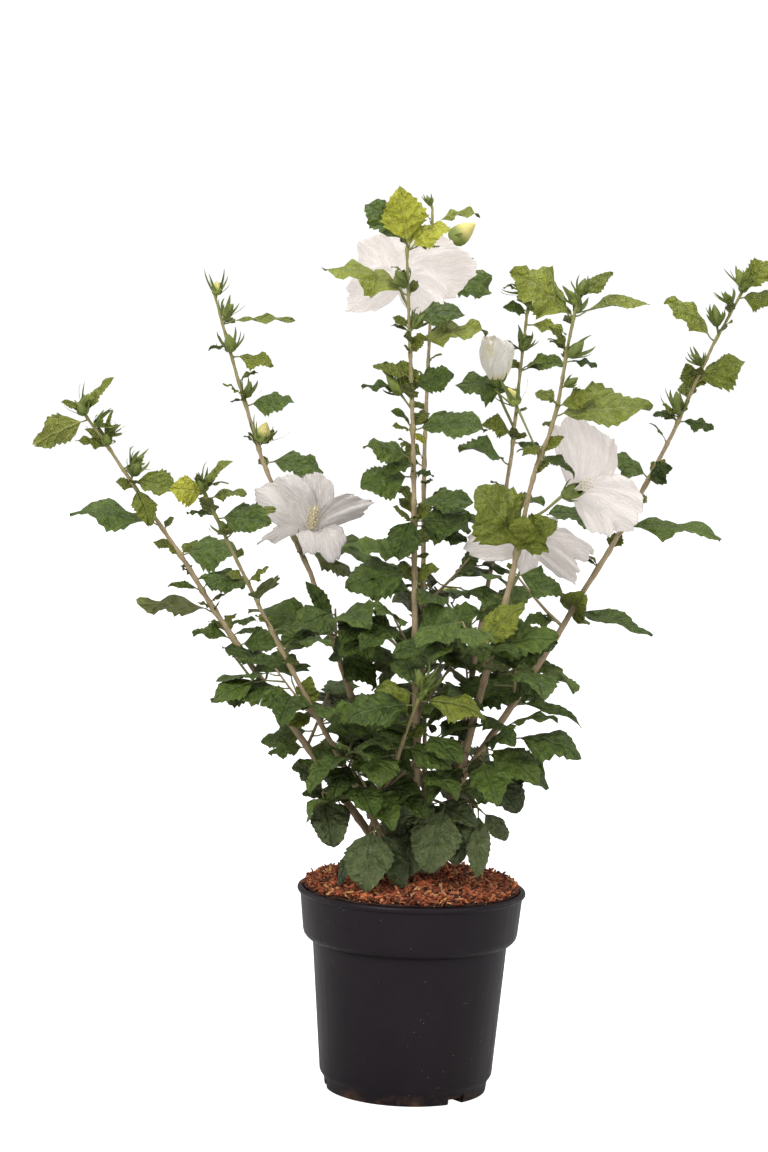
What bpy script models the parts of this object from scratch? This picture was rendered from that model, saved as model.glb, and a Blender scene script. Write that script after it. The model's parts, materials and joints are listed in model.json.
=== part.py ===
"""A white garden hibiscus, about 0.9 m tall, in a black container pot.

Metres, +Z up. The origin is the middle of the pot's flat underside and -Y is the front.
Ten stems rise from one short stool. Each stem is a bare bough low down and a leafy shoot above.
Short sprays of leaves stand out from the boughs, five low twigs hang their leaves over the compost,
and five blooms sit on stalks of their own.
"""

import math
import random

import bmesh
import bpy
from mathutils import Matrix, Vector
from mathutils.bvhtree import BVHTree

GAP = 0.0003

# The pot: a five litre container with a deep collar under its rolled rim
POT_HEIGHT = 0.205
RIM_RADIUS = 0.115
RIM_DEPTH = 0.0055
COLLAR_RADIUS = 0.1115
COLLAR_FOOT_RADIUS = 0.107
COLLAR_DEPTH = 0.050
STEP_DEPTH = 0.008
BODY_RADIUS = 0.0985
HEEL_RADIUS = 0.0870
HEEL_HEIGHT = 0.012
FOOT_RADIUS = 0.0815
POT_WALL = 0.0028
FLOOR_THICKNESS = 0.004
POT_SEGMENTS = 40
NOTCH_BEARINGS = (-52, 68, 188)
NOTCH_WIDTH = 0.020
NOTCH_HEIGHT = 0.010
NOTCH_DEPTH = 0.014

# The compost, heaped a little towards the middle
SOIL_TOP = 0.2030
SOIL_EDGE = 0.1945
SOIL_FLAT_RADIUS = 0.036

# The stool: the short root crown that every stem grows from
STOOL_FOOT = (0.0300, 0.0245)
STOOL_WAIST = (0.0235, 0.0165)
STOOL_HEIGHT = 0.036
STOOL_RIDGES = 5
STOOL_RIDGE = 0.16
STEM_FOOT_HEIGHT = 0.222

BOUGH_SIDES = 6
BOUGH_RINGS = 6
SHOOT_SIDES = 5
SHOOT_RINGS = 7
SPRAY_SIDES = 3
STEM_TIP_RADIUS = 0.0013

# The rule of growth
GOLDEN_TURN = math.radians(137.5)
NODE_SPACING = 0.024
LEAF_LENGTH = 0.067
YOUNG_SHARE = 0.60
PETIOLE_SHARE = 0.17
LONGEST_PETIOLE = 0.014
PETIOLE_RADIUS = 0.0009
LEAF_HALF_WIDTH = 0.38
LEAF_THICKNESS = 0.020
THINNEST_LEAF = 0.0010
LEAF_FOLD = 0.16
LEAF_ROOT = 0.0005
LEAF_DROOP = 0.10
LEAF_CLEARANCE = 0.0004
SHOWN_CLEARANCE = 0.012
SPRAY_LENGTH = 0.062
SPRAY_LEAVES = 8
SPRAY_LIFT = math.radians(40)
SPRAY_RADIUS = 0.0019
SPRAY_TAPER = 0.45
SPRAY_STATIONS = (0, 0.33, 0.67, 1)
LOW_TWIG_ARCH = 0.004
SPRAY_TURNS = (0, 20, -20, 40, -40, 60, -60, 85, -85)
TWIG_LENGTH = 0.024
TWIG_RADIUS = 0.0011
MASS_REACH = 0.120
BUD_SPACING = 0.033
BUD_LENGTH = 0.019
BUD_RADIUS = 0.0048
BUD_STALK = 0.013
STALK_SIDES = 5

# Each stem: name, what it grows from, foot (x, y) or place on that stem, tip, sideways bow,
# foot radius, share that is bare bough, sprays, bearing of the first, leaves at a node, buds
STEMS = (
    ("left_outer", None, (-0.017, -0.004), (-0.344, -0.060, 0.684), (-0.003, 0.004),
     0.0052, 0.45, 3, 290, 0.35, 4),
    ("left_back", None, (-0.005, 0.010), (-0.224, 0.110, 0.804), (0.001, 0.004),
     0.0050, 0.50, 2, 130, 0.45, 5),
    ("centre_front", None, (0.004, 0.000), (-0.025, -0.030, 0.845), (0.002, -0.003),
     0.0052, 0.42, 3, 265, 1.30, 2),
    ("right_front", None, (0.023, -0.003), (0.140, -0.110, 0.805), (0.000, 0.004),
     0.0056, 0.45, 3, 320, 0.90, 3),
    ("left_front", None, (-0.011, -0.014), (-0.214, -0.150, 0.610), (0.001, 0.004),
     0.0042, 0.50, 3, 250, 0.50, 3),
    ("short_back", None, (0.009, 0.012), (0.000, 0.150, 0.490), (0.004, -0.006),
     0.0038, 0.45, 2, 60, 1.20, 2),
    ("short_front", "left_outer", 0.08, (0.002, -0.110, 0.416), (0.000, 0.000),
     0.0036, 0.45, 2, 235, 1.00, 4),
    ("centre_back", "centre_front", 0.07, (-0.001, 0.100, 0.892), (0.000, -0.006),
     0.0042, 0.44, 3, 95, 1.10, 0),
    ("right_back", "right_front", 0.11, (0.105, 0.160, 0.810), (0.002, -0.006),
     0.0040, 0.44, 2, 30, 0.80, 3),
    ("right_outer", "right_front", 0.15, (0.315, 0.040, 0.819), (0.016, 0.000),
     0.0046, 0.40, 3, 270, 0.25, 4),
)

# Leaves that stand clear of the rest: how far their node is below the tip of the stem, and how far
# the leaf reaches to the right, back and up from it, in millimetres, then the turn of its face to the front
SHOWN_LEAVES = {
    "left_outer": (
        (7, 20, 12, 33, 20), (21, -45, -16, -14, 55), (43, -36, -6, 6, 25), (79, 40, -20, -12, 45),
        (83, 14, -25, -34, 40), (119, -84, -8, 4, 42), (155, 28, 10, 26, 35), (160, 50, -12, 10, 45),
        (204, -71, -5, 0, 35), (200, 24, -8, 6, 15), (234, 32, -5, 14, 35), (237, -36, -10, 8, 35),
        (294, -62, -6, 8, 35), (262, 44, -22, 16, 50), (334, -52, 4, -6, 45), (352, 40, -26, -6, 55),
    ),
    "left_front": (
        (9, 28, -5, 33, 25), (15, -36, -20, -10, 75), (14, 36, 6, 8, 20), (31, 56, -14, -12, 50),
        (33, -27, -8, -9, 25), (88, -68, 6, -14, 40), (83, -16, -14, 14, 30), (111, -50, -8, 6, 20),
        (115, 62, -12, -26, 50), (150, -46, -10, 10, 45), (176, 52, -16, 0, 50), (214, -52, -14, -6, 50),
        (240, 46, -20, 12, 55),
    ),
    "left_back": (
        (34, 68, 0, 5, 14), (68, 41, -8, -8, 35), (64, -15, 0, -3, 15), (129, 46, -12, 12, 40),
        (116, -13, 4, 2, 15), (167, 60, -10, -18, 35), (240, 62, -10, -14, 50), (285, 34, -14, -36, 55),
        (332, -26, -12, 42, 50), (336, -66, -8, 12, 45), (346, 40, -16, -34, 70),
    ),
    "centre_front": (
        (2, -12, -14, 57, 0), (5, -44, 12, 26, 20), (3, 40, -8, 18, 45), (7, 10, 18, 42, 15),
        (45, -80, -10, 22, 38), (95, 80, -6, 18, 38), (88, 44, 10, 22, 45), (81, -18, 2, -6, 25),
        (140, -42, -8, 18, 40), (147, -50, 4, -4, 25), (138, 44, 4, 20, 40), (196, -54, -8, -4, 50),
        (192, 34, 8, 12, 40), (232, -52, 8, 4, 50), (228, 46, -8, -14, 45), (262, -32, -14, -30, 50),
        (300, 50, -10, 4, 50), (322, 30, -18, 14, 55), (352, -58, -8, 20, 50), (378, 76, -14, 14, 60),
        (396, -46, -18, 4, 55),
    ),
    "centre_back": (
        (14, 52, 4, 14, 15), (107, 62, 4, 4, 45), (92, -30, 30, 6, 15), (220, 56, -6, -10, 50),
        (180, -52, 6, 14, 40), (262, -50, -6, 10, 50), (296, 50, 4, -16, 50), (352, 64, 8, 8, 50),
    ),
    "right_back": (
        (29, -30, -10, 16, 40), (37, 34, -6, -3, 15), (85, -10, -16, -6, 40), (81, 38, -4, 4, 20),
        (138, -64, -8, 26, 25), (156, -44, -10, -12, 40), (217, -68, -18, -14, 50), (206, 40, -8, 10, 40),
        (290, -56, -12, -8, 50), (300, 44, 10, 6, 45),
    ),
    "right_front": (
        (31, -58, -10, 54, 45), (13, 34, 4, 22, 30), (25, 70, 0, 18, 30), (79, 36, -6, 6, 15),
        (63, -19, 0, 14, 25), (124, 102, -22, 16, 50), (251, -40, -26, 62, 45), (257, 30, -30, 44, 45),
        (214, 74, 12, -8, 45), (186, -40, -8, 12, 40), (300, -50, -16, -4, 50), (322, 44, -12, -14, 55),
        (344, 22, -20, 44, 40), (366, 62, -6, 8, 55),
    ),
    "right_outer": (
        (9, 34, -4, 27, 45), (13, 37, -10, -9, 50), (53, -48, -4, 37, 35), (106, 44, -20, 30, 60),
        (135, -17, 0, 2, 15), (138, 42, -8, -6, 35), (198, -44, -4, 20, 30), (201, 24, -18, 2, 55),
        (247, -80, 6, 18, 35), (251, 100, -4, -6, 30), (286, -40, -4, 8, 25), (323, 2, -30, 14, 60),
        (330, 68, -6, -28, 25), (300, 34, -14, -20, 50), (352, -34, -14, 14, 45), (392, 66, -4, -22, 35),
        (396, -26, -20, -24, 50),
    ),
    "short_front": (
        (6, -46, -8, 2, 25), (12, 62, -14, -14, 35), (40, -62, -6, -6, 55), (84, 52, -14, -16, 55),
        (90, -46, -14, -20, 60), (126, 40, -20, -26, 60),
    ),
    "short_back": (),
}

# Low side twigs that hang their leaves over the compost: name, stem, place on it and end of the twig,
# then its leaves: place on the twig, tip, width, and turn of the face to the front
LOW_TWIGS = (
    ("low_left", "left_outer", 0.13, (-0.080, -0.042, 0.300), (
        (1.0, (-0.084, -0.064, 0.244), 1.10, 20),
        (0.7, (-0.116, -0.036, 0.296), 0.80, 45),
        (0.5, (-0.078, -0.012, 0.252), 0.80, 60),
        (0.9, (-0.128, -0.050, 0.336), 1.00, 50),
    )),
    ("low_front", "left_front", 0.09, (-0.038, -0.056, 0.264), (
        (1.0, (-0.044, -0.084, 0.212), 1.35, 0),
        (0.6, (-0.012, -0.064, 0.211), 1.00, 0),
        (0.8, (-0.092, -0.056, 0.226), 0.70, 40),
        (0.9, (0.000, -0.084, 0.292), 0.90, 50),
    )),
    ("low_middle", "centre_front", 0.11, (0.030, -0.040, 0.296), (
        (1.0, (0.021, -0.074, 0.224), 1.25, 0),
        (0.6, (0.064, -0.056, 0.276), 0.80, 55),
        (0.8, (-0.016, -0.062, 0.280), 1.00, 60),
        (0.4, (0.044, -0.050, 0.226), 0.90, 0),
    )),
    ("low_right", "right_front", 0.13, (0.066, -0.036, 0.290), (
        (0.9, (0.070, -0.066, 0.222), 0.65, 30),
        (1.0, (0.112, -0.040, 0.276), 0.70, 30),
        (0.6, (0.040, -0.052, 0.244), 0.70, 30),
    )),
    ("low_outer", "right_outer", 0.06, (0.084, -0.030, 0.334), (
        (1.0, (0.122, -0.050, 0.282), 1.20, 60),
        (0.8, (0.082, -0.056, 0.290), 0.70, 30),
        (0.9, (0.138, -0.020, 0.340), 0.60, 40),
    )),
)

# Each bloom: name, stem, drop of its node below the tip, where its calyx starts, where it faces, and its
# petals: how far the tip reaches to the right, back and up from the throat, and the half width, in millimetres
BLOOMS = (
    ("bloom_top", "centre_front", 62, (-0.0320, -0.006, 0.806), (0.10, 0.80, 0.50), (
        (-20, 34, 52, 25), (-56, 30, 6, 19), (-48, 22, -24, 17), (46, 40, 46, 30), (62, 26, -4, 28),
    )),
    ("bloom_left", "left_back", 254, (-0.1170, 0.046, 0.553), (0.20, -0.42, 0.86), (
        (-50, -10, 44, 24), (-4, 24, 58, 27), (58, 6, 26, 18), (40, -40, -4, 25), (-34, -42, -16, 25),
    )),
    ("bloom_right", "right_front", 228, (0.1330, -0.062, 0.606), (0.82, 0.30, 0.36), (
        (-8, -6, 84, 26), (22, 18, 66, 18), (28, 48, 24, 24), (62, 2, -24, 25), (34, -26, -34, 18),
    )),
    ("bloom_low", "right_front", 300, (0.1010, -0.016, 0.538), (0.16, -0.34, 0.92), (
        (-58, -14, 8, 22), (22, 34, 28, 22), (58, 10, 6, 20), (40, -32, -20, 22), (-12, -44, -20, 22),
    )),
    ("bloom_opening", "right_back", 144, (0.0720, 0.112, 0.708), (-0.03, -0.05, 1.00), ()),
)
PETAL_THICKNESS = 0.0014
OPENING_LENGTH = 0.044
OPENING_RADIUS = 0.0155
CALYX_LENGTH = 0.015
CALYX_RADIUS = 0.0066
COLUMN_LENGTH = 0.034
COLUMN_RADIUS = 0.0032
BLOOM_STALK_RADIUS = 0.0015


def material(name, colour, roughness, metallic=0.0):
    made = bpy.data.materials.new(name)
    made.use_nodes = True
    shader = made.node_tree.nodes["Principled BSDF"]
    shader.inputs["Base Color"].default_value = (*colour, 1.0)
    shader.inputs["Roughness"].default_value = roughness
    shader.inputs["Metallic"].default_value = metallic
    made.diffuse_color = (*colour, 1.0)
    return made


def new_object(name, points, faces, finish=None, edges=()):
    mesh = bpy.data.meshes.new(name)
    mesh.from_pydata([tuple(point) for point in points], edges, faces)
    mesh.update()
    made = bpy.data.objects.new(name, mesh)
    bpy.context.scene.collection.objects.link(made)
    if finish:
        mesh.materials.append(finish)
    return made


def tube(points, radii, sides):
    """A closed tube round the points, flat at both ends, and its faces."""
    ring_points = []
    faces = []
    across = Vector((0.0, 1.0, 0.0))
    for index, point in enumerate(points):
        before = points[max(index - 1, 0)]
        after = points[min(index + 1, len(points) - 1)]
        along = (after - before).normalized()
        first = (across - along * across.dot(along)).normalized()
        second = along.cross(first)
        for side in range(sides):
            turn = 2 * math.pi * side / sides
            ring_points.append(point + (first * math.cos(turn) + second * math.sin(turn)) * radii[index])
    for index in range(len(points) - 1):
        low = index * sides
        for side in range(sides):
            following = (side + 1) % sides
            faces.append((low + side, low + following, low + sides + following, low + sides + side))
    faces.append(tuple(range(sides))[::-1])
    last = (len(points) - 1) * sides
    faces.append(tuple(range(last, last + sides)))
    return ring_points, faces


def keep_main_body(thing):
    """Drops every shell but the largest, so that a sealed hollow is filled and a scrap is gone."""
    shape = bmesh.new()
    shape.from_mesh(thing.data)
    unseen = set(shape.faces)
    shells = []
    while unseen:
        shell = {unseen.pop()}
        edge_of_search = list(shell)
        while edge_of_search:
            face = edge_of_search.pop()
            for edge in face.edges:
                for other in edge.link_faces:
                    if other in unseen:
                        unseen.remove(other)
                        shell.add(other)
                        edge_of_search.append(other)
        shells.append(shell)
    shells.sort(key=lambda faces: sum(face.calc_area() for face in faces))
    extra = [face for shell in shells[:-1] for face in shell]
    bmesh.ops.delete(shape, geom=extra, context="FACES")
    shape.to_mesh(thing.data)
    shape.free()


def combine(thing, others, operation):
    """Joins the others to the thing, or cuts them from it, applies that and removes them."""
    helpers = bpy.data.collections.new("helpers")
    bpy.context.scene.collection.children.link(helpers)
    for other in others:
        bpy.context.scene.collection.objects.unlink(other)
        helpers.objects.link(other)
    joint = thing.modifiers.new("joint", "BOOLEAN")
    joint.operation = operation
    joint.operand_type = "COLLECTION"
    joint.collection = helpers
    joint.solver = "EXACT"
    joint.use_self = operation == "UNION"
    with bpy.context.temp_override(object=thing, active_object=thing):
        bpy.ops.object.modifier_apply(modifier=joint.name)
    for other in others:
        bpy.data.meshes.remove(other.data)
    bpy.data.collections.remove(helpers)
    keep_main_body(thing)


def turned(name, profile, finish):
    """A solid turned round Z from its (radius, height) profile, which runs down its outer side."""
    points = [(radius, 0.0, height) for radius, height in profile]
    edges = [(index, index + 1) for index in range(len(profile) - 1)]
    made = new_object(name, points, [], finish, edges)
    screw = made.modifiers.new("turn", "SCREW")
    screw.steps = POT_SEGMENTS
    screw.render_steps = POT_SEGMENTS
    screw.use_merge_vertices = True
    screw.merge_threshold = 0.00005
    return made


def pot_inside():
    """The (radius, height) points down the inner wall, from the rim to the floor."""
    collar_foot = POT_HEIGHT - COLLAR_DEPTH
    return (
        (COLLAR_RADIUS - POT_WALL, POT_HEIGHT - RIM_DEPTH),
        (COLLAR_FOOT_RADIUS - POT_WALL, collar_foot + POT_WALL * 0.5),
        (BODY_RADIUS - POT_WALL, collar_foot - STEP_DEPTH + POT_WALL * 0.5),
        (HEEL_RADIUS - POT_WALL, HEEL_HEIGHT),
        (FOOT_RADIUS - POT_WALL, FLOOR_THICKNESS),
    )


def make_pot():
    rim_middle = POT_HEIGHT - RIM_DEPTH / 2
    collar_foot = POT_HEIGHT - COLLAR_DEPTH
    outside = (
        (COLLAR_RADIUS - POT_WALL, POT_HEIGHT - 0.0012),
        (COLLAR_RADIUS - 0.0008, POT_HEIGHT),
        (RIM_RADIUS - 0.0010, POT_HEIGHT - 0.0006),
        (RIM_RADIUS, rim_middle),
        (RIM_RADIUS - 0.0010, POT_HEIGHT - RIM_DEPTH),
        (COLLAR_RADIUS, POT_HEIGHT - RIM_DEPTH - 0.0006),
        (COLLAR_FOOT_RADIUS, collar_foot),
        (BODY_RADIUS, collar_foot - STEP_DEPTH),
        (HEEL_RADIUS, HEEL_HEIGHT),
        (HEEL_RADIUS - 0.0015, HEEL_HEIGHT * 0.35),
        (FOOT_RADIUS, 0.0),
        (0.0, 0.0),
    )
    inside = pot_inside()
    profile = ((0.0, FLOOR_THICKNESS),) + inside[::-1] + outside
    pot = turned("pot", profile, material("black_plastic", (0.030, 0.026, 0.030), 0.42))
    notches = bpy.data.collections.new("notches")
    bpy.context.scene.collection.children.link(notches)
    for number, bearing in enumerate(NOTCH_BEARINGS):
        bpy.ops.mesh.primitive_cube_add(size=1.0)
        notch = bpy.context.object
        notch.name = "notch_%d" % (number + 1)
        turn = math.radians(bearing)
        size = Matrix.Diagonal((NOTCH_DEPTH * 2, NOTCH_WIDTH, NOTCH_HEIGHT * 2, 1.0))
        out = Matrix.Translation((HEEL_RADIUS, 0.0, 0.0))
        notch.data.transform(Matrix.Rotation(turn, 4, "Z") @ out @ size)
        notch.hide_render = True
        notch.display_type = "WIRE"
        for home in list(notch.users_collection):
            home.objects.unlink(notch)
        notches.objects.link(notch)
    cut = pot.modifiers.new("drainage_notches", "BOOLEAN")
    cut.operation = "DIFFERENCE"
    cut.operand_type = "COLLECTION"
    cut.collection = notches
    return pot


def make_soil():
    inside = pot_inside()
    side = [(radius - GAP * 2, height + GAP * 2) for radius, height in inside]
    side[0] = (side[0][0] - 0.0004, SOIL_EDGE)
    middle = ((0.0, SOIL_TOP), (SOIL_FLAT_RADIUS, SOIL_TOP), (0.080, SOIL_TOP - 0.0035))
    profile = middle + tuple(side) + ((0.0, FLOOR_THICKNESS + GAP * 2),)
    return turned("compost", profile, material("bark_mulch", (0.21, 0.095, 0.045), 0.95))


def stool_shape(extra):
    """The flared and ridged root crown, with every side moved out by the extra."""
    sides = 15
    foot = SOIL_TOP + GAP
    rings = (0.0, 0.12, 0.34, 0.66, 1.0)
    points = []
    faces = []
    for level in rings:
        flare = (1 - level) ** 2.2
        for side in range(sides):
            turn = 2 * math.pi * side / sides
            ridge = 1 + STOOL_RIDGE * flare * math.cos(STOOL_RIDGES * turn)
            wide = STOOL_WAIST[0] + (STOOL_FOOT[0] - STOOL_WAIST[0]) * flare
            deep = STOOL_WAIST[1] + (STOOL_FOOT[1] - STOOL_WAIST[1]) * flare
            points.append(
                (
                    math.cos(turn) * (wide * ridge + extra),
                    math.sin(turn) * (deep * ridge + extra),
                    foot + STOOL_HEIGHT * 0.8 * level,
                )
            )
    points.append((0.0, 0.0, foot + STOOL_HEIGHT + extra))
    points.append((0.0, 0.0, foot - extra))
    for ring in range(len(rings) - 1):
        for side in range(sides):
            following = (side + 1) % sides
            low = ring * sides
            faces.append((low + side, low + following, low + sides + following, low + sides + side))
    last = (len(rings) - 1) * sides
    for side in range(sides):
        following = (side + 1) % sides
        faces.append((last + side, last + following, len(points) - 2))
        faces.append((following, side, len(points) - 1))
    return points, faces


class Stem:
    """One stem from its foot to its tip: a straight rise with a sideways bow and an even taper."""

    def __init__(self, row, stems):
        (self.name, parent, start, tip, bow, self.radius, self.bare, self.sprays, bearing, self.leafy,
         self.buds) = row
        self.foot = stems[parent].at(start) if parent else Vector((*start, STEM_FOOT_HEIGHT))
        self.tip = Vector(tip)
        self.bow = Vector((*bow, 0.0))
        self.bearing = math.radians(bearing)
        self.length = (self.tip - self.foot).length

    def at(self, place):
        return self.foot.lerp(self.tip, place) + self.bow * (4 * place * (1 - place))

    def radius_at(self, place):
        return self.radius + (STEM_TIP_RADIUS - self.radius) * place ** 0.8

    def shoot_start(self):
        """The place where the leafy shoot begins, a gap above the bough's end."""
        return self.bare + GAP / self.length

    def place_below_tip(self, drop):
        """The place on the stem that lies the drop, in millimetres, below its tip."""
        return 1 - drop / 1000 / (self.tip.z - self.foot.z)

    def piece(self, start, end, rings, sides, extra=0.0):
        places = [start + (end - start) * ring / rings for ring in range(rings + 1)]
        points = [self.at(place) for place in places]
        return tube(points, [self.radius_at(place) + extra for place in places], sides)


def facing_out(points, faces):
    """The points and faces, turned over as a whole if they face inwards."""
    volume = 0.0
    for face in faces:
        first = Vector(points[face[0]])
        for index in range(1, len(face) - 1):
            volume += first.dot(Vector(points[face[index]]).cross(Vector(points[face[index + 1]])))
    return points, [face[::-1] for face in faces] if volume < 0 else faces


class Leaf:
    """One leaf: its root on the twig, the reach of its tip, the turn of its face and its width."""

    def __init__(self, root, reach, face, width=1.0, plain=False):
        self.root = root
        self.reach = reach
        self.face = face
        self.width = width
        self.plain = plain

    def frame(self):
        """The directions along the leaf, across it and out of its upper face."""
        ahead = self.reach.normalized()
        up = Vector((0.0, 0.0, 1.0))
        if abs(ahead.z) > 0.97:
            up = Vector((0.0, 1.0, 0.0))
        up = (up - ahead * up.dot(ahead)).normalized()
        front = Vector((0.0, -1.0, 0.0))
        front = front - ahead * front.dot(ahead)
        if front.length > 0.2:
            up = (up * math.cos(self.face) + front.normalized() * math.sin(self.face)).normalized()
            up = (up - ahead * up.dot(ahead)).normalized()
        return ahead, ahead.cross(up), up

    def solid(self, extra=0.0):
        """A folded blade with its root sunk in the twig; the leaves that stand clear have a stalk too."""
        ahead, across, up = self.frame()
        length = self.reach.length
        stalk = min(length * PETIOLE_SHARE, LONGEST_PETIOLE)
        blade = length - stalk
        half = blade * LEAF_HALF_WIDTH * self.width + extra
        thick = max(blade * LEAF_THICKNESS, THINNEST_LEAF) / 2 + extra

        def place(forward, sideways, lift):
            sag = -LEAF_DROOP * forward * forward * blade
            return neck + ahead * (forward * blade) + across * sideways + up * (lift + sag)

        if self.plain:
            neck = self.root
            blade = length
            points = [
                self.root + up * (LEAF_ROOT + extra),
                self.root - up * (LEAF_ROOT + extra),
                place(0.50, half, half * LEAF_FOLD),
                place(1.0 + extra, 0.0, 0.0),
                place(0.50, -half, half * LEAF_FOLD),
                place(0.48, 0.0, thick),
                place(0.48, 0.0, -thick),
            ]
            faces = [
                (0, 2, 1), (0, 1, 4), (0, 5, 2), (0, 4, 5), (1, 2, 6), (1, 6, 4),
                (2, 5, 3), (3, 5, 4), (2, 3, 6), (3, 4, 6),
            ]
            return facing_out(points, faces)

        stem = PETIOLE_RADIUS + extra
        neck = self.root + ahead * stalk + up * (blade * 0.05)
        ring = ((1.0, 0.6), (-1.0, 0.6), (0.0, -1.0))
        points = [self.root + across * (side * stem) + up * (lift * stem) for side, lift in ring]
        points += [neck + across * (side * stem) + up * (lift * stem) for side, lift in ring]
        points += [
            place(0.34, half, half * LEAF_FOLD),
            place(0.70, half * 0.62, half * 0.10),
            place(1.0 + extra, 0.0, 0.0),
            place(0.70, -half * 0.62, half * 0.10),
            place(0.34, -half, half * LEAF_FOLD),
            place(0.42, 0.0, thick),
            place(0.42, 0.0, -thick),
        ]
        faces = [
            (0, 2, 1), (0, 1, 4, 3), (1, 2, 5, 4), (2, 0, 3, 5),
            (3, 4, 11), (3, 11, 6), (6, 11, 7), (7, 11, 8), (8, 11, 9), (9, 11, 10), (10, 11, 4),
            (3, 6, 12), (6, 7, 12), (7, 8, 12), (8, 9, 12), (9, 10, 12), (10, 4, 12), (4, 5, 12), (5, 3, 12),
        ]
        return facing_out(points, faces)

    def blade_faces(self, faces):
        """The faces that lie clear of the twig, by which two leaves are kept apart."""
        root_points = 2 if self.plain else 3
        return [face for face in faces if min(face) >= root_points]


def bud_solid(root, reach, swell):
    """A flower bud on its stalk: a slim four-sided spindle."""
    points = [root, root + reach * 0.46, root + reach * 0.72, root + reach]
    return tube(points, [0.0009, 0.0012, swell, 0.0006], 4)


class Mass:
    """The twigs, leaves and buds of one node, grown by the seeded rule from one stem."""

    def __init__(self, name, axis, seed):
        self.name = name
        self.axis = axis
        self.chance = random.Random(seed)
        self.twigs = []
        self.shown = []
        self.leaves = []
        self.buds = []

    def point(self, place):
        spot = place * (len(self.axis) - 1)
        low = min(int(spot), len(self.axis) - 2)
        return self.axis[low].lerp(self.axis[low + 1], spot - low)

    def nearest(self, spot):
        places = [step / 40 for step in range(41)]
        return self.point(min(places, key=lambda place: (self.point(place) - spot).length))


def reach_of(bearing, pitch, length):
    flat = math.cos(pitch) * length
    return Vector((math.cos(bearing) * flat, math.sin(bearing) * flat, math.sin(pitch) * length))


def grow_shoot(stem, seed):
    """The leafy upper part of a stem: leaves at each node in turn, and buds below the tip."""
    start = stem.shoot_start()
    places = [start + (1 - start) * ring / SHOOT_RINGS for ring in range(SHOOT_RINGS + 1)]
    mass = Mass("shoot_" + stem.name, [stem.at(place) for place in places], seed)
    chance = mass.chance
    shown = [stem.place_below_tip(row[0]) for row in SHOWN_LEAVES[stem.name]]
    clear = SHOWN_CLEARANCE / stem.length
    nodes = max(int((1 - stem.bare) * stem.length / NODE_SPACING), 2)
    for node in range(nodes):
        place = stem.bare + (1 - stem.bare) * (node + 0.6) / nodes
        for part in range(2):
            bearing = stem.bearing + node * GOLDEN_TURN + part * 2.6 + chance.uniform(-0.35, 0.35)
            pitch = chance.uniform(-0.15, 0.30) + 0.35 * place
            size = LEAF_LENGTH * (1 - (1 - YOUNG_SHARE) * place ** 3) * chance.uniform(0.85, 1.15)
            face = chance.uniform(-0.3, 0.9)
            wanted = chance.random() < stem.leafy - part
            if part == 0 and any(abs(other - place) < clear for other in shown):
                wanted = False
            if wanted:
                reach = reach_of(bearing, pitch, size * (1 - 0.25 * part))
                mass.leaves.append(Leaf(stem.at(place + part * clear / 3), reach, face, 1.0, True))
    for number in range(stem.buds):
        place = 1 - number * BUD_SPACING / stem.length
        bearing = stem.bearing + 0.8 + number * GOLDEN_TURN
        pitch = 1.35 if number == 0 else 0.95 + chance.uniform(-0.15, 0.15)
        length = (BUD_STALK + BUD_LENGTH) * (0.85 if number == 0 else 1.0)
        mass.buds.append((stem.at(place - 0.004), reach_of(bearing, pitch, length), BUD_RADIUS))
    return mass


def grow_spray(stem, number, seed, turn):
    """A side spray: a short twig that leaves the bough and carries leaves and side twigs in turn."""
    place = 0.14 + (stem.bare - 0.17) * (number + 0.35) / stem.sprays
    bearing = stem.bearing + number * GOLDEN_TURN + math.radians(turn)
    foot = stem.at(place)
    reach = reach_of(bearing, SPRAY_LIFT, SPRAY_LENGTH)
    rise = Vector((0, 0, SPRAY_LENGTH * 0.16))
    axis = [foot + reach * share + rise * (share * share) for share in SPRAY_STATIONS]
    mass = Mass("spray_%s_%d" % (stem.name, number + 1), axis, seed)
    chance = mass.chance
    for leaf in range(SPRAY_LEAVES):
        share = 0.24 + 0.76 * leaf / (SPRAY_LEAVES - 1)
        spot = mass.point(share)
        side = 1 if leaf % 2 else -1
        heading = bearing + side * chance.uniform(0.5, 1.6) * (1.25 - share) + (leaf < 2) * side * 0.8
        pitch = chance.uniform(-0.55, 0.30)
        size = LEAF_LENGTH * chance.uniform(0.80, 1.15)
        face = chance.uniform(-0.2, 0.9)
        if leaf in (2, 5):
            twig = reach_of(heading, pitch + 0.5, TWIG_LENGTH)
            mass.twigs.append((spot, spot + twig))
            spot = spot + twig * 0.92
        mass.leaves.append(Leaf(spot, reach_of(heading, pitch, size), face, 1.0, True))
    return mass


def grow_low_twig(row, stems, seed):
    """A low side twig that hangs its leaves over the compost."""
    name, stem, place, end, leaves = row
    foot = stems[stem].at(place)
    end = Vector(end)
    arch = Vector((0, 0, LOW_TWIG_ARCH))
    axis = [foot.lerp(end, share) + arch * math.sin(math.pi * share) for share in SPRAY_STATIONS]
    mass = Mass("spray_" + name, axis, seed)
    for share, tip, width, face in leaves:
        root = mass.point(share)
        mass.shown.append(Leaf(root, Vector(tip) - root, math.radians(face), width))
    return mass


def shown_leaf(row, stem, masses):
    """A leaf of the list, on the stem's shoot or on the spray that passes nearest to its node."""
    drop, right, back, up, face = row
    place = stem.place_below_tip(drop)
    spot = stem.at(place)
    reach = Vector((right, back, up)) / 1000
    if place > stem.bare + 0.01:
        return masses[0], Leaf(spot, reach, math.radians(face))
    mass = min(masses[1:], key=lambda other: (other.nearest(spot + reach * 0.3) - spot).length)
    root = mass.nearest(spot + reach * 0.3)
    return mass, Leaf(root, spot + reach - root, math.radians(face))


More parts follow.
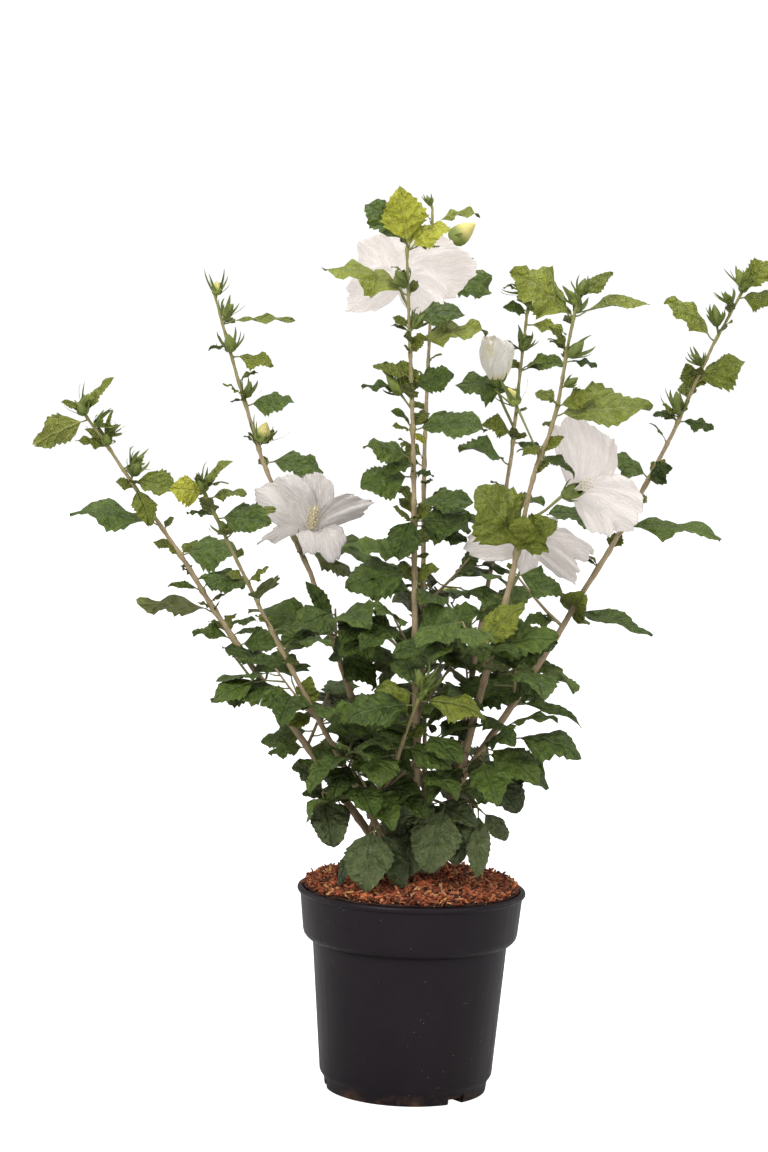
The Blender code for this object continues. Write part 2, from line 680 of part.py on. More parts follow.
def tree_of(points, faces):
    return BVHTree.FromPolygons([tuple(point) for point in points], faces)


def tree_of_object(thing):
    mesh = thing.data
    return tree_of([vertex.co for vertex in mesh.vertices], [tuple(face.vertices) for face in mesh.polygons])


def lens_sheet(rows, thickness):
    """A closed thin solid round a sheet given as rows of points, with a sharp edge all round."""
    height = len(rows)
    width = len(rows[0])
    points = []
    upper = {}
    lower = {}
    for r in range(height):
        for c in range(width):
            point = rows[r][c]
            inner = 0 < r < height - 1 and 0 < c < width - 1
            if not inner:
                upper[r, c] = lower[r, c] = len(points)
                points.append(point)
                continue
            normal = (rows[r + 1][c] - rows[r - 1][c]).cross(rows[r][c + 1] - rows[r][c - 1]).normalized()
            upper[r, c] = len(points)
            points.append(point + normal * (thickness / 2))
            lower[r, c] = len(points)
            points.append(point - normal * (thickness / 2))
    faces = []
    for r in range(height - 1):
        for c in range(width - 1):
            corners = ((r, c), (r, c + 1), (r + 1, c + 1), (r + 1, c))
            # The diagonal of a corner cell runs to its inner point, so that the cell has thickness
            turn = 1 if (r == 0) == (c == 0) or (r == height - 2) == (c == width - 2) else 0
            if (r, c) in ((0, 0), (height - 2, width - 2)):
                turn = 0
            if (r, c) in ((0, width - 2), (height - 2, 0)):
                turn = 1
            a, b, d, e = corners[turn:] + corners[:turn]
            faces.append((lower[a], lower[b], lower[d]))
            faces.append((lower[a], lower[d], lower[e]))
            faces.append((upper[d], upper[b], upper[a]))
            faces.append((upper[e], upper[d], upper[a]))
    return points, faces


def petal_rows(throat, axis, tip, half, rows=4, columns=4):
    """Rows of points over one petal, which leaves the throat along the axis and bends out to its tip."""
    reach = tip - throat
    outward = (reach - axis * reach.dot(axis)).normalized()
    sideways = axis.cross(outward)
    bend = throat + axis * (reach.length * 0.42) + outward * (reach.length * 0.10)
    made = []
    for r in range(rows):
        row = []
        for c in range(columns):
            side = 2 * c / (columns - 1) - 1
            share = 0.08 + 0.92 * r / (rows - 1)
            along = share * (1 - 0.16 * side * side * r / (rows - 1))
            middle = throat.lerp(bend, along).lerp(bend.lerp(tip, along), along)
            wide = half * (0.08 + 0.92 * math.sin(math.pi * share ** 1.3 * 0.64))
            cup = half * 0.30 * side * side * share
            row.append(middle + sideways * (wide * side) + (axis * 0.8 - outward * 0.6) * cup)
        made.append(row)
    return made


def make_bloom(row, stem, finish):
    """A bloom on its stalk: the stalk, the calyx, its petals and the column of stamens."""
    name, _, drop, calyx, facing, petals = row
    calyx = Vector(calyx)
    axis = Vector(facing).normalized()
    node = stem.at(stem.place_below_tip(drop))
    bend = node.lerp(calyx, 0.6) + Vector((0, 0, -0.002))
    stalk, stalk_faces = tube(
        [node, bend, calyx, calyx + axis * 0.004], [BLOOM_STALK_RADIUS] * 4, STALK_SIDES
    )
    bloom = new_object(name, stalk, stalk_faces, finish)
    cup_points = [calyx, calyx + axis * (CALYX_LENGTH * 0.45), calyx + axis * CALYX_LENGTH]
    pieces = [tube(cup_points, [0.0024, CALYX_RADIUS * 0.85, CALYX_RADIUS], 6)]
    throat = calyx + axis * (CALYX_LENGTH * 0.55)
    for right, back, up, half in petals:
        tip = throat + Vector((right, back, up)) / 1000
        pieces.append(lens_sheet(petal_rows(throat, axis, tip, half / 1000), PETAL_THICKNESS))
    if petals:
        column = [throat, throat + axis * (COLUMN_LENGTH * 0.6), throat + axis * COLUMN_LENGTH]
        pieces.append(tube(column, [COLUMN_RADIUS * 0.8, COLUMN_RADIUS, COLUMN_RADIUS * 0.6], STALK_SIDES))
    else:
        core = [throat + axis * (OPENING_LENGTH * share) for share in (0, 0.30, 0.75, 0.98)]
        swell = OPENING_RADIUS
        pieces.append(tube(core, [CALYX_RADIUS * 0.8, swell * 0.88, swell, swell * 0.45], 8))
    combine(bloom, [new_object("piece", *facing_out(*piece)) for piece in pieces], "UNION")
    return bloom


def main():
    for thing in list(bpy.data.objects):
        bpy.data.objects.remove(thing)

    bark = material("grey_tan_bark", (0.31, 0.24, 0.16), 0.80)
    root_bark = material("stool_bark", (0.22, 0.16, 0.11), 0.88)
    shoot_green = material("young_leaf", (0.16, 0.26, 0.045), 0.50)
    spray_green = material("old_leaf", (0.040, 0.115, 0.030), 0.42)
    petal_white = material("white_petal", (0.86, 0.84, 0.82), 0.60)

    pot = make_pot()
    soil = make_soil()
    stool = new_object("stool", *stool_shape(0.0), root_bark)
    stems = {}
    for row in STEMS:
        stems[row[0]] = Stem(row, stems)

    # Boughs, each cut clear of the stool and of the boughs made before it
    boughs = {}
    for stem in stems.values():
        bough = new_object("bough_" + stem.name, *stem.piece(0, stem.bare, BOUGH_RINGS, BOUGH_SIDES), bark)
        cutters = [new_object("cutter", *stool_shape(GAP))]
        for name in boughs:
            other = stems[name]
            cutters.append(new_object("cutter", *other.piece(0, other.bare, BOUGH_RINGS, BOUGH_SIDES, GAP)))
        combine(bough, cutters, "DIFFERENCE")
        boughs[stem.name] = bough

    # Blooms, each cut clear of its stem
    blooms = []
    for row in BLOOMS:
        stem = stems[row[1]]
        bloom = make_bloom(row, stem, petal_white)
        cutters = [
            new_object("cutter", *stem.piece(0, stem.bare, BOUGH_RINGS, BOUGH_SIDES, GAP)),
            new_object("cutter", *stem.piece(stem.shoot_start(), 1, SHOOT_RINGS, SHOOT_SIDES, GAP)),
        ]
        combine(bloom, cutters, "DIFFERENCE")
        blooms.append(bloom)

    # What a leaf may not touch: pot, compost, stool, boughs, blooms and the stems of the shoots
    bpy.context.view_layer.update()
    graph = bpy.context.evaluated_depsgraph_get()
    fixed = {thing.name: BVHTree.FromObject(thing, graph) for thing in [pot, soil]}
    for thing in [stool] + list(boughs.values()) + blooms:
        fixed[thing.name] = tree_of_object(thing)

    # Each mass starts as its own stem. A side spray whose stem would meet another is turned aside
    families = {}
    stem_solids = {}
    for number, stem in enumerate(stems.values()):
        mass = grow_shoot(stem, number * 10 + 1)
        families[stem.name] = [mass]
        stem_solids[mass.name] = stem.piece(stem.shoot_start(), 1, SHOOT_RINGS, SHOOT_SIDES)
    stem_trees = {name: tree_of(*solid) for name, solid in stem_solids.items()}

    def add_side_stem(mass, stem):
        """Adds the side stem unless it meets a stem or bough other than its own."""
        last = len(mass.axis) - 1
        radii = [SPRAY_RADIUS * (1 - SPRAY_TAPER * index / last) for index in range(len(mass.axis))]
        solid = tube(mass.axis, radii, SPRAY_SIDES)
        points, faces = tube(mass.axis, [radius + 2 * GAP for radius in radii], SPRAY_SIDES)
        tree = tree_of(points, faces)
        others = [other for name, other in fixed.items() if name != "bough_" + stem.name]
        others += list(stem_trees.values())
        if any(tree.overlap(other) for other in others):
            return False
        families[stem.name].append(mass)
        stem_solids[mass.name] = solid
        stem_trees[mass.name] = tree_of(*solid)
        return True

    seed = 100
    for row in LOW_TWIGS:
        seed += 1
        add_side_stem(grow_low_twig(row, stems, seed), stems[row[1]])
    for stem in stems.values():
        for number in range(stem.sprays):
            seed += 1
            for turn in SPRAY_TURNS:
                if add_side_stem(grow_spray(stem, number, seed, turn), stem):
                    break
    masses = [mass for family in families.values() for mass in family]
    placed = {mass.name: [stem_trees[mass.name]] for mass in masses}
    blades = {mass.name: [] for mass in masses}
    kept = {mass.name: [] for mass in masses}

    def settle(mass, solid, test, blade_only):
        """Keeps a solid of a mass unless it touches anything outside the mass or a blade inside it."""
        tree = tree_of(*test)
        if any(tree.overlap(other) for other in fixed.values()):
            return False
        for name, others in placed.items():
            if name != mass.name and any(tree.overlap(other) for other in others):
                return False
        if blade_only and any(blade_only.overlap(other) for other in blades[mass.name]):
            return False
        placed[mass.name].append(tree)
        if blade_only:
            blades[mass.name].append(blade_only)
        kept[mass.name].append(solid)
        return True

    def settle_leaf(mass, leaf):
        if (leaf.root + leaf.reach - mass.nearest(leaf.root + leaf.reach)).length > MASS_REACH:
            return False
        points, faces = leaf.solid(LEAF_CLEARANCE)
        return settle(mass, leaf.solid(), (points, faces), tree_of(points, leaf.blade_faces(faces)))

    for mass in masses:
        for start, end in mass.twigs:
            twig = tube([start, end], [TWIG_RADIUS, TWIG_RADIUS * 0.8], 3)
            settle(mass, twig, twig, None)
    for mass in masses:
        for leaf in mass.shown:
            settle_leaf(mass, leaf)
    for stem in stems.values():
        for row in SHOWN_LEAVES[stem.name]:
            settle_leaf(*shown_leaf(row, stem, families[stem.name]))
    for mass in masses:
        for root, reach, swell in mass.buds:
            solid = bud_solid(root, reach, swell)
            settle(mass, solid, solid, None)
    for mass in masses:
        for leaf in mass.leaves:
            settle_leaf(mass, leaf)

    for mass in masses:
        is_shoot = mass.name.startswith("shoot_")
        made = new_object(mass.name, *stem_solids[mass.name], shoot_green if is_shoot else spray_green)
        pieces = [new_object("piece", *solid) for solid in kept[mass.name]]
        if pieces:
            combine(made, pieces, "UNION")
        if not is_shoot:
            tree = tree_of_object(made)
            cutters = []
            for stem in stems.values():
                fat = stem.piece(0, stem.bare, BOUGH_RINGS, BOUGH_SIDES, GAP)
                if tree.overlap(tree_of(*fat)):
                    cutters.append(new_object("cutter", *fat))
            if tree.overlap(tree_of(*stool_shape(GAP))):
                cutters.append(new_object("cutter", *stool_shape(GAP)))
            combine(made, cutters, "DIFFERENCE")


main()
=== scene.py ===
"""A white garden hibiscus, about 0.9 m tall, in a black container pot, dressed for its studio picture.

Metres, +Z up. The origin is the middle of the pot's flat underside and -Y is the front.
The stems and sprays follow the solids' lines, with a sideways sway of up to 10 mm. The listed leaves,
buds and petals were fitted to the photograph after the solids were made, so they stand near the solids'
own ones and not in their places. The seeded rule of growth is written again here and carried on to finer
leaves, bracts and veins.
"""

import json
import math
import random

import bpy
import numpy as np
from mathutils import Matrix, Vector
from mathutils.bvhtree import BVHTree

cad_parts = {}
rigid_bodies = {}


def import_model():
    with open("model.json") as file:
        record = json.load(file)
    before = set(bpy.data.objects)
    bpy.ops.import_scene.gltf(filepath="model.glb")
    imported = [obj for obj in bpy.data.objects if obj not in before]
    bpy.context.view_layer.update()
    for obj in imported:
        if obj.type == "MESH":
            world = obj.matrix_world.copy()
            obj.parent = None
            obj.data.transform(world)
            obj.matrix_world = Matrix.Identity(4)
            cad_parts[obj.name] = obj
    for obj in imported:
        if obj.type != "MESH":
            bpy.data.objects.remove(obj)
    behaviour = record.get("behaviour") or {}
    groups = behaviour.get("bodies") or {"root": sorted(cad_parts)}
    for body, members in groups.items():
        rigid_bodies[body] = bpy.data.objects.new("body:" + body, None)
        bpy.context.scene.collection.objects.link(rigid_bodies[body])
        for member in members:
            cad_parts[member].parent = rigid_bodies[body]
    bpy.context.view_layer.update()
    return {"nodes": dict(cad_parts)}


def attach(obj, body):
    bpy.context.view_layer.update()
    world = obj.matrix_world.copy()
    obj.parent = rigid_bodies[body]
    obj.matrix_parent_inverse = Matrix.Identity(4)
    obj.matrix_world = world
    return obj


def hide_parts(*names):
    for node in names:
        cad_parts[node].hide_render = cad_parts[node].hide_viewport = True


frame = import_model()

UP = np.array((0.0, 0.0, 1.0))
FRONT = np.array((0.0, -1.0, 0.0))

# The pot
POT_HEIGHT = 0.205
RIM_RADIUS = 0.115
COLLAR_RADIUS = 0.1118
COLLAR_FOOT_RADIUS = 0.1082
COLLAR_DEPTH = 0.050
BODY_RADIUS = 0.0985
HEEL_RADIUS = 0.0872
FOOT_RADIUS = 0.0815
POT_WALL = 0.0028
FLOOR_THICKNESS = 0.004
POT_SIDES = 120
NOTCH_BEARINGS = (-52, 68, 188)
NOTCH_WIDTH = 0.019
NOTCH_HEIGHT = 0.009
NOTCH_DEPTH = 0.030

# The compost and the bark mulch on it
SOIL_TOP = 0.2030
MULCH_RADIUS = 0.1090
MULCH_MIDDLE = 0.2120
MULCH_EDGE = 0.2052
CHIPS = 6500
FIBRES = 2600
CRUMBS = 3500

# The ages of leaves, from the tips of the stems down to the twigs over the compost
YOUNG = "young"
GROWN = "grown"
OLD = "old"
LOW = "low"
KINDS = (YOUNG, GROWN, OLD, LOW)

# The stool
STOOL_FOOT = (0.0300, 0.0245)
STOOL_WAIST = (0.0235, 0.0165)
STOOL_HEIGHT = 0.036
STOOL_RIDGES = 5
STEM_FOOT_HEIGHT = 0.222
STEM_TIP_RADIUS = 0.0013
GAP = 0.0003

# The rule of growth
GOLDEN_TURN = math.radians(137.5)
NODE_SPACING = 0.024
LEAF_LENGTH = 0.067
YOUNG_SHARE = 0.60
PETIOLE_SHARE = 0.15
LONGEST_PETIOLE = 0.010
LEAF_HALF_WIDTH = 0.34
SHOWN_CLEARANCE = 0.012
SPRAY_LENGTH = 0.062
SPRAY_LEAVES = 8
SPRAY_LIFT = math.radians(40)
SPRAY_RADIUS = 0.0019
# Degrees that a spray is turned aside, found by the search for a clear way in part.py
SPRAYS_TURNED_ASIDE = {"spray_left_front_2": 40}
SPRAY_TAPER = 0.45
SPRAY_STATIONS = (0, 0.33, 0.67, 1)
LOW_TWIG_ARCH = 0.004
TWIG_LENGTH = 0.024
SMALL_LEAF_LENGTH = 0.026
SMALL_LEAF_SHARE = 0.60
BUD_SIDES = 15

# Each stem: name, what it grows from, foot (x, y) or place on that stem, tip, sideways bow,
# foot radius, share that is bare bough, sprays, bearing of the first, leaves at a node
STEMS = (
    ("left_outer", None, (-0.017, -0.004), (-0.344, -0.06, 0.684), (-0.003, 0.004), 0.0052, 0.45, 3, 290, 0.35),
    ("left_back", None, (-0.005, 0.010), (-0.224, 0.110, 0.804), (0.001, 0.004), 0.0050, 0.50, 2, 130, 0.45),
    ("centre_front", None, (0.004, 0.0), (-0.025, -0.03, 0.845), (0.002, -0.003), 0.0052, 0.42, 3, 265, 1.30),
    ("right_front", None, (0.023, -0.003), (0.14, -0.11, 0.805), (0.0, 0.004), 0.0056, 0.45, 3, 320, 0.90),
    ("left_front", None, (-0.011, -0.014), (-0.214, -0.15, 0.61), (0.001, 0.004), 0.0042, 0.50, 3, 250, 0.50),
    ("short_back", None, (0.009, 0.012), (0.000, 0.150, 0.490), (0.004, -0.006), 0.0038, 0.45, 2, 60, 1.20),
    ("short_front", "left_outer", 0.08, (0.002, -0.110, 0.416), (0.000, 0.000), 0.0036, 0.45, 2, 235, 1.00),
    ("centre_back", "centre_front", 0.07, (-0.001, 0.1, 0.892), (0.0, -0.006), 0.0042, 0.44, 3, 95, 1.10),
    ("right_back", "right_front", 0.11, (0.105, 0.160, 0.810), (0.002, -0.006), 0.0040, 0.44, 2, 30, 0.80),
    ("right_outer", "right_front", 0.15, (0.315, 0.040, 0.819), (0.016, 0.000), 0.0046, 0.40, 3, 270, 0.25),
)

# Leaves that stand clear of the rest: how far their node is below the tip of the stem, and how far the
# leaf reaches to the right, back and up from it, in millimetres, then the turn of its face to the front
# in degrees (below zero shows its underside), its width, and its age
SHOWN_LEAVES = {
    "left_outer": (
        (18, -50, -12, -27, -62, 1.10, YOUNG), (14, 27, -6, 37, 50, 0.60, GROWN),
        (38, 9, -8, 30, 60, 0.30, GROWN), (40, 19, -10, 16, 30, 0.55, GROWN),
        (46, -33, -10, 6, 32, 0.95, GROWN), (77, 48, -14, -10, 52, 1.05, GROWN),
        (82, 16, -14, -38, 44, 0.85, GROWN), (121, -90, -12, 10, 24, 0.84, OLD),
        (150, -14, -4, 12, 44, 1.10, GROWN), (149, 58, -10, 4, 46, 1.30, OLD),
        (184, -34, -6, 3, 30, 0.60, OLD), (172, 50, -8, -8, 34, 1.10, OLD),
        (206, -78, -6, 7, -26, 0.90, GROWN), (196, 16, -8, 9, 30, 0.80, GROWN),
        (202, -15, -8, 6, 30, 0.80, GROWN), (232, -40, -6, 4, 30, 1.00, OLD),
        (219, 34, -10, 6, 20, 0.60, OLD), (229, 30, 4, 8, 20, 0.80, OLD),
        (238, 46, -10, 4, 44, 1.10, OLD), (258, 36, -14, 12, 46, 0.80, OLD),
        (298, -66, -8, 3, 22, 0.80, OLD), (284, 5, -16, 27, 40, 0.55, OLD),
        (336, -34, -4, -12, 35, 1.15, OLD), (336, 40, -26, -6, 50, 0.95, OLD),
    ),
    "left_front": (
        (8, -31, -26, 4, 76, 1.25, YOUNG), (4, 29, -6, 27, 36, 0.75, GROWN),
        (14, 37, -4, 5, 26, 0.90, GROWN), (32, 52, -10, -4, 46, 1.10, OLD),
        (28, -26, -4, 0, 16, 0.95, OLD), (94, -46, -4, 2, 34, 1.00, OLD),
        (226, -26, -14, -10, 50, 1.00, GROWN), (142, 38, -10, 4, 22, 0.85, OLD),
        (158, 52, -8, 2, 12, 0.60, OLD), (175, -38, -12, 2, 34, 0.90, OLD),
        (222, -4, -14, 36, 56, 1.00, GROWN), (206, -44, -14, -10, 44, 0.95, OLD),
        (230, 46, -20, 12, 45, 0.95, OLD),
    ),
    "left_back": (
        (40, 74, 0, 5, 16, 0.50, GROWN), (73, 44, -8, -9, 32, 0.95, GROWN),
        (64, -22, -4, -4, 22, 0.70, OLD), (123, 50, -10, 5, 40, 1.20, OLD),
        (118, -15, 4, -2, 20, 0.80, OLD), (180, 62, -10, -9, 32, 1.00, OLD),
        (166, -12, 2, 16, 20, 0.60, GROWN), (255, 88, -10, -24, 28, 0.85, OLD),
        (266, 62, -8, -30, -26, 0.95, GROWN), (340, -22, -10, 42, 60, 0.50, OLD),
        (342, -81, -8, 12, 34, 0.85, OLD), (352, 42, -16, -30, 60, 1.10, OLD),
        (378, 40, -16, -22, 50, 1.10, OLD),
    ),
    "centre_front": (
        (2, -11, -14, 58, 82, 1.20, YOUNG), (0, -44, 14, 40, 48, 1.05, OLD),
        (4, 41, -6, 22, 46, 1.10, YOUNG), (6, 12, 10, 46, 50, 0.80, YOUNG),
        (49, -84, -8, 21, 28, 0.95, GROWN), (72, 54, -6, 6, 40, 1.15, OLD),
        (98, 76, -6, 14, 30, 0.80, GROWN), (106, 15, -8, 18, 50, 1.30, GROWN),
        (84, -20, 2, 5, 25, 0.80, OLD), (129, -38, -8, 10, 34, 1.00, GROWN),
        (146, -49, 2, 5, 14, 0.85, OLD), (154, -12, 12, 42, 62, 0.90, GROWN),
        (140, 42, -4, 16, 48, 1.25, OLD), (178, -22, -6, 16, 34, 0.90, OLD),
        (180, 72, -8, 0, 38, 1.12, OLD), (182, 14, -10, -12, 40, 0.80, YOUNG),
        (209, -50, -8, 11, 40, 1.25, OLD), (215, -28, -14, -9, 34, 0.95, OLD),
        (222, 20, -12, -4, 30, 0.95, OLD), (226, -52, -10, -12, 54, 1.25, OLD),
        (254, 60, -8, 4, 34, 1.00, OLD), (270, 58, -12, -8, 46, 1.20, OLD),
        (266, -14, -24, -42, 66, 1.20, OLD), (274, 52, -10, -16, 46, 1.10, OLD),
        (308, -70, -10, 8, 28, 0.85, OLD), (322, -66, -10, -18, 50, 1.25, OLD),
        (357, -32, -12, 4, 50, 1.05, OLD), (330, 25, -16, 14, 50, 1.00, GROWN),
        (343, -50, -8, 18, 42, 1.10, OLD), (372, 66, -14, 12, 42, 1.00, OLD),
        (384, -44, -18, 18, 56, 1.20, OLD),
    ),
    "centre_back": (
        (20, 50, 4, 9, 18, 0.80, GROWN), (68, 62, 30, -18, 56, 1.00, OLD),
        (94, -30, 30, 6, 15, 0.90, OLD), (183, -50, 6, 14, 36, 0.95, OLD),
        (266, -50, -6, 10, 40, 1.00, OLD), (306, 46, 4, -14, 44, 1.00, OLD),
        (357, 60, 8, 6, 45, 1.00, OLD), (350, -30, 30, -28, -30, 1.10, OLD),
        (412, 20, 50, -14, -54, 1.10, OLD), (392, -30, 46, -16, -54, 1.10, OLD),
        (424, 44, 40, -16, -52, 1.10, OLD), (452, -46, 34, -22, -52, 1.10, OLD),
    ),
    "right_back": (
        (22, -26, -8, 2, 44, 1.40, OLD), (26, -14, 8, 6, 50, 0.80, OLD),
        (36, 42, -6, -10, 40, 0.80, GROWN), (65, -21, -10, 8, 30, 0.80, OLD),
        (84, 44, -4, 6, 34, 1.10, OLD), (106, -66, -8, 4, 38, 1.15, OLD),
        (150, -34, -8, 10, 46, 1.30, GROWN), (158, 30, -8, -8, 34, 0.90, OLD),
        (304, -50, -12, -8, 44, 0.95, OLD), (312, 52, 6, 2, 38, 0.85, OLD),
    ),
    "right_front": (
        (28, -62, -10, 40, 50, 1.20, GROWN), (10, 33, 0, 27, 34, 1.05, GROWN),
        (25, 71, -2, 13, 16, 0.75, GROWN), (58, -19, 0, 10, 25, 0.80, GROWN),
        (68, 30, -6, -5, 20, 0.80, OLD), (121, 91, -18, 8, 44, 0.95, GROWN),
        (112, 34, -12, 10, 50, 1.10, GROWN), (150, -22, -10, -10, 34, 0.95, GROWN),
        (160, 34, 8, -22, 34, 0.45, OLD), (252, -44, -30, 60, 66, 1.45, GROWN),
        (254, 36, -30, 30, 62, 1.30, GROWN), (257, 4, -38, 40, 70, 1.10, GROWN),
        (159, 30, -8, -14, 36, 0.80, OLD), (156, -24, 4, -2, 20, 0.80, OLD),
        (330, 56, -12, -10, 46, 1.00, OLD), (340, 26, -20, 33, 62, 0.95, GROWN),
        (353, 62, -6, 6, 44, 0.95, OLD), (328, -40, -10, 8, 40, 0.95, OLD),
        (276, 46, 6, -22, 50, 1.15, OLD),
    ),
    "right_outer": (
        (6, 32, -4, 28, 50, 1.20, GROWN), (13, 38, -10, -2, 46, 1.20, GROWN),
        (57, -53, -4, 36, 44, 0.85, GROWN), (100, 47, -14, 24, 56, 1.20, GROWN),
        (110, -7, -6, 30, 56, 1.30, GROWN), (134, -27, 0, 0, 24, 1.00, OLD),
        (138, 34, -8, -8, 34, 0.95, OLD), (196, -46, -4, 20, 36, 1.25, OLD),
        (200, 22, -18, 17, 58, 1.30, OLD), (249, -75, -4, 13, 28, 0.95, OLD),
        (248, 101, -4, -6, 22, 0.66, OLD), (286, -27, -4, 7, 24, 0.85, OLD),
        (302, -6, -26, -10, 60, 1.40, GROWN), (316, 73, -6, -38, 26, 0.60, OLD),
        (330, -30, -10, -6, 30, 0.85, OLD), (356, -34, -14, 14, 40, 0.90, OLD),
        (400, -26, -20, -24, 50, 0.95, OLD), (414, 63, -6, -32, 34, 0.42, OLD),
    ),
    "short_front": (
        (6, -42, -8, 4, 18, 0.62, GROWN), (10, 66, -12, -14, 32, 0.85, GROWN),
        (14, -66, -8, -18, 46, 1.00, OLD), (58, 50, -14, -20, 46, 0.95, OLD),
        (68, -46, -14, -16, 52, 1.00, OLD), (106, 40, -20, -26, 54, 1.00, OLD),
    ),
    "short_back": (
        (64, 14, 44, -16, -50, 0.90, GROWN), (76, -34, 38, -8, -46, 1.05, OLD),
        (86, 20, 42, -4, -56, 1.10, OLD), (104, 50, 30, -16, -46, 1.10, OLD),
        (112, -50, 30, -16, -46, 1.10, OLD), (96, -16, 44, -16, -56, 1.15, OLD),
        (110, 48, 34, -20, -50, 1.15, OLD), (124, -50, 34, -20, -50, 1.15, OLD),
        (150, 26, 46, -34, -60, 1.20, OLD), (164, -30, 44, -36, -58, 1.20, OLD),
        (186, 54, 26, -30, -50, 1.10, OLD), (196, -58, 24, -30, -50, 1.10, OLD),
        (212, 8, 46, -44, -62, 1.20, OLD), (228, 40, 36, -44, -60, 1.10, OLD),
        (232, -38, 36, -46, -60, 1.10, OLD),
    ),
}

# Shoots and sprays left without the rule's own twigs and leaves, so that open sky shows round them. The
# names come from comparing a draft with the photograph by a script, as report.md tells
AGAINST_THE_SKY = (
    "shoot_left_back", "shoot_centre_front", "shoot_centre_back", "shoot_right_front", "shoot_right_outer",
    "spray_left_outer_3", "spray_right_outer_2", "spray_right_outer_3",
)

# The colours of a leaf by its age: bright and deep green above, its veins, and its underside
LEAF_COLOURS = {
    YOUNG: ((0.53, 0.530, 0.046), (0.29, 0.325, 0.029), (0.68, 0.66, 0.20), (0.27, 0.30, 0.062)),
    GROWN: ((0.255, 0.285, 0.031), (0.102, 0.136, 0.015), (0.40, 0.43, 0.13), (0.200, 0.220, 0.064)),
    OLD: ((0.124, 0.186, 0.026), (0.022, 0.046, 0.006), (0.22, 0.27, 0.090), (0.150, 0.170, 0.050)),
    LOW: ((0.122, 0.150, 0.055), (0.013, 0.028, 0.007), (0.20, 0.24, 0.110), (0.14, 0.160, 0.074)),
}

# How rough a leaf is and how strongly its veins show, by its age
LEAF_SURFACES = {YOUNG: (0.50, 0.40), GROWN: (0.44, 0.36), OLD: (0.40, 0.36), LOW: (0.30, 0.26)}

# The camera fitted to the photograph: its place in metres, its pitch down and its roll in degrees, and
# its lens and the height of its sensor in millimetres
CAMERA_PLACE = (-0.0379, -2.8687, 0.7394)
CAMERA_PITCH = 4.423
CAMERA_ROLL = 1.867
LENS = 90.0
SENSOR_HEIGHT = 36.0

# The studio's lamps: name, place, what it is aimed at, size in metres and power in watts
LAMPS = (
    ("key", (-1.5, -2.4, 2.5), (0, 0, 0.5), 1.6, 78.0),
    ("fill", (2.2, -2.2, 1.5), (0, 0, 0.45), 1.6, 30.0),
    ("top", (0.2, 0.3, 2.9), (0, 0, 0.4), 1.8, 48.0),
    ("side_left", (-2.2, 0.7, 0.8), (0, 0, 0.3), 1.2, 7.0),
    ("side_right", (2.2, 0.9, 0.8), (0, 0, 0.3), 1.2, 7.0),
)

# How far a stem strays sideways from its straight rise: below the tip, and to the right, in millimetres
STEM_SWAYS = {
    "left_outer": ((0, 0), (40, 3), (80, 3), (158, 2), (200, -2), (300, -4), (420, 0)),
    "left_front": ((0, 0), (60, -4), (130, -6), (220, -5), (380, 0)),
    "left_back": ((0, 0), (55, -4), (100, -7), (175, -10), (250, -5), (290, 0)),
    "right_back": ((0, 0), (110, 3), (170, 5), (230, 3), (300, 0)),
    "right_front": ((0, 0), (55, 2), (110, 6), (138, 5), (170, 0), (200, 0), (270, 4), (320, 4), (420, 0)),
    "right_outer": ((0, 0), (60, -5), (110, -3), (150, 0), (270, 1), (310, -1), (360, 0)),
}

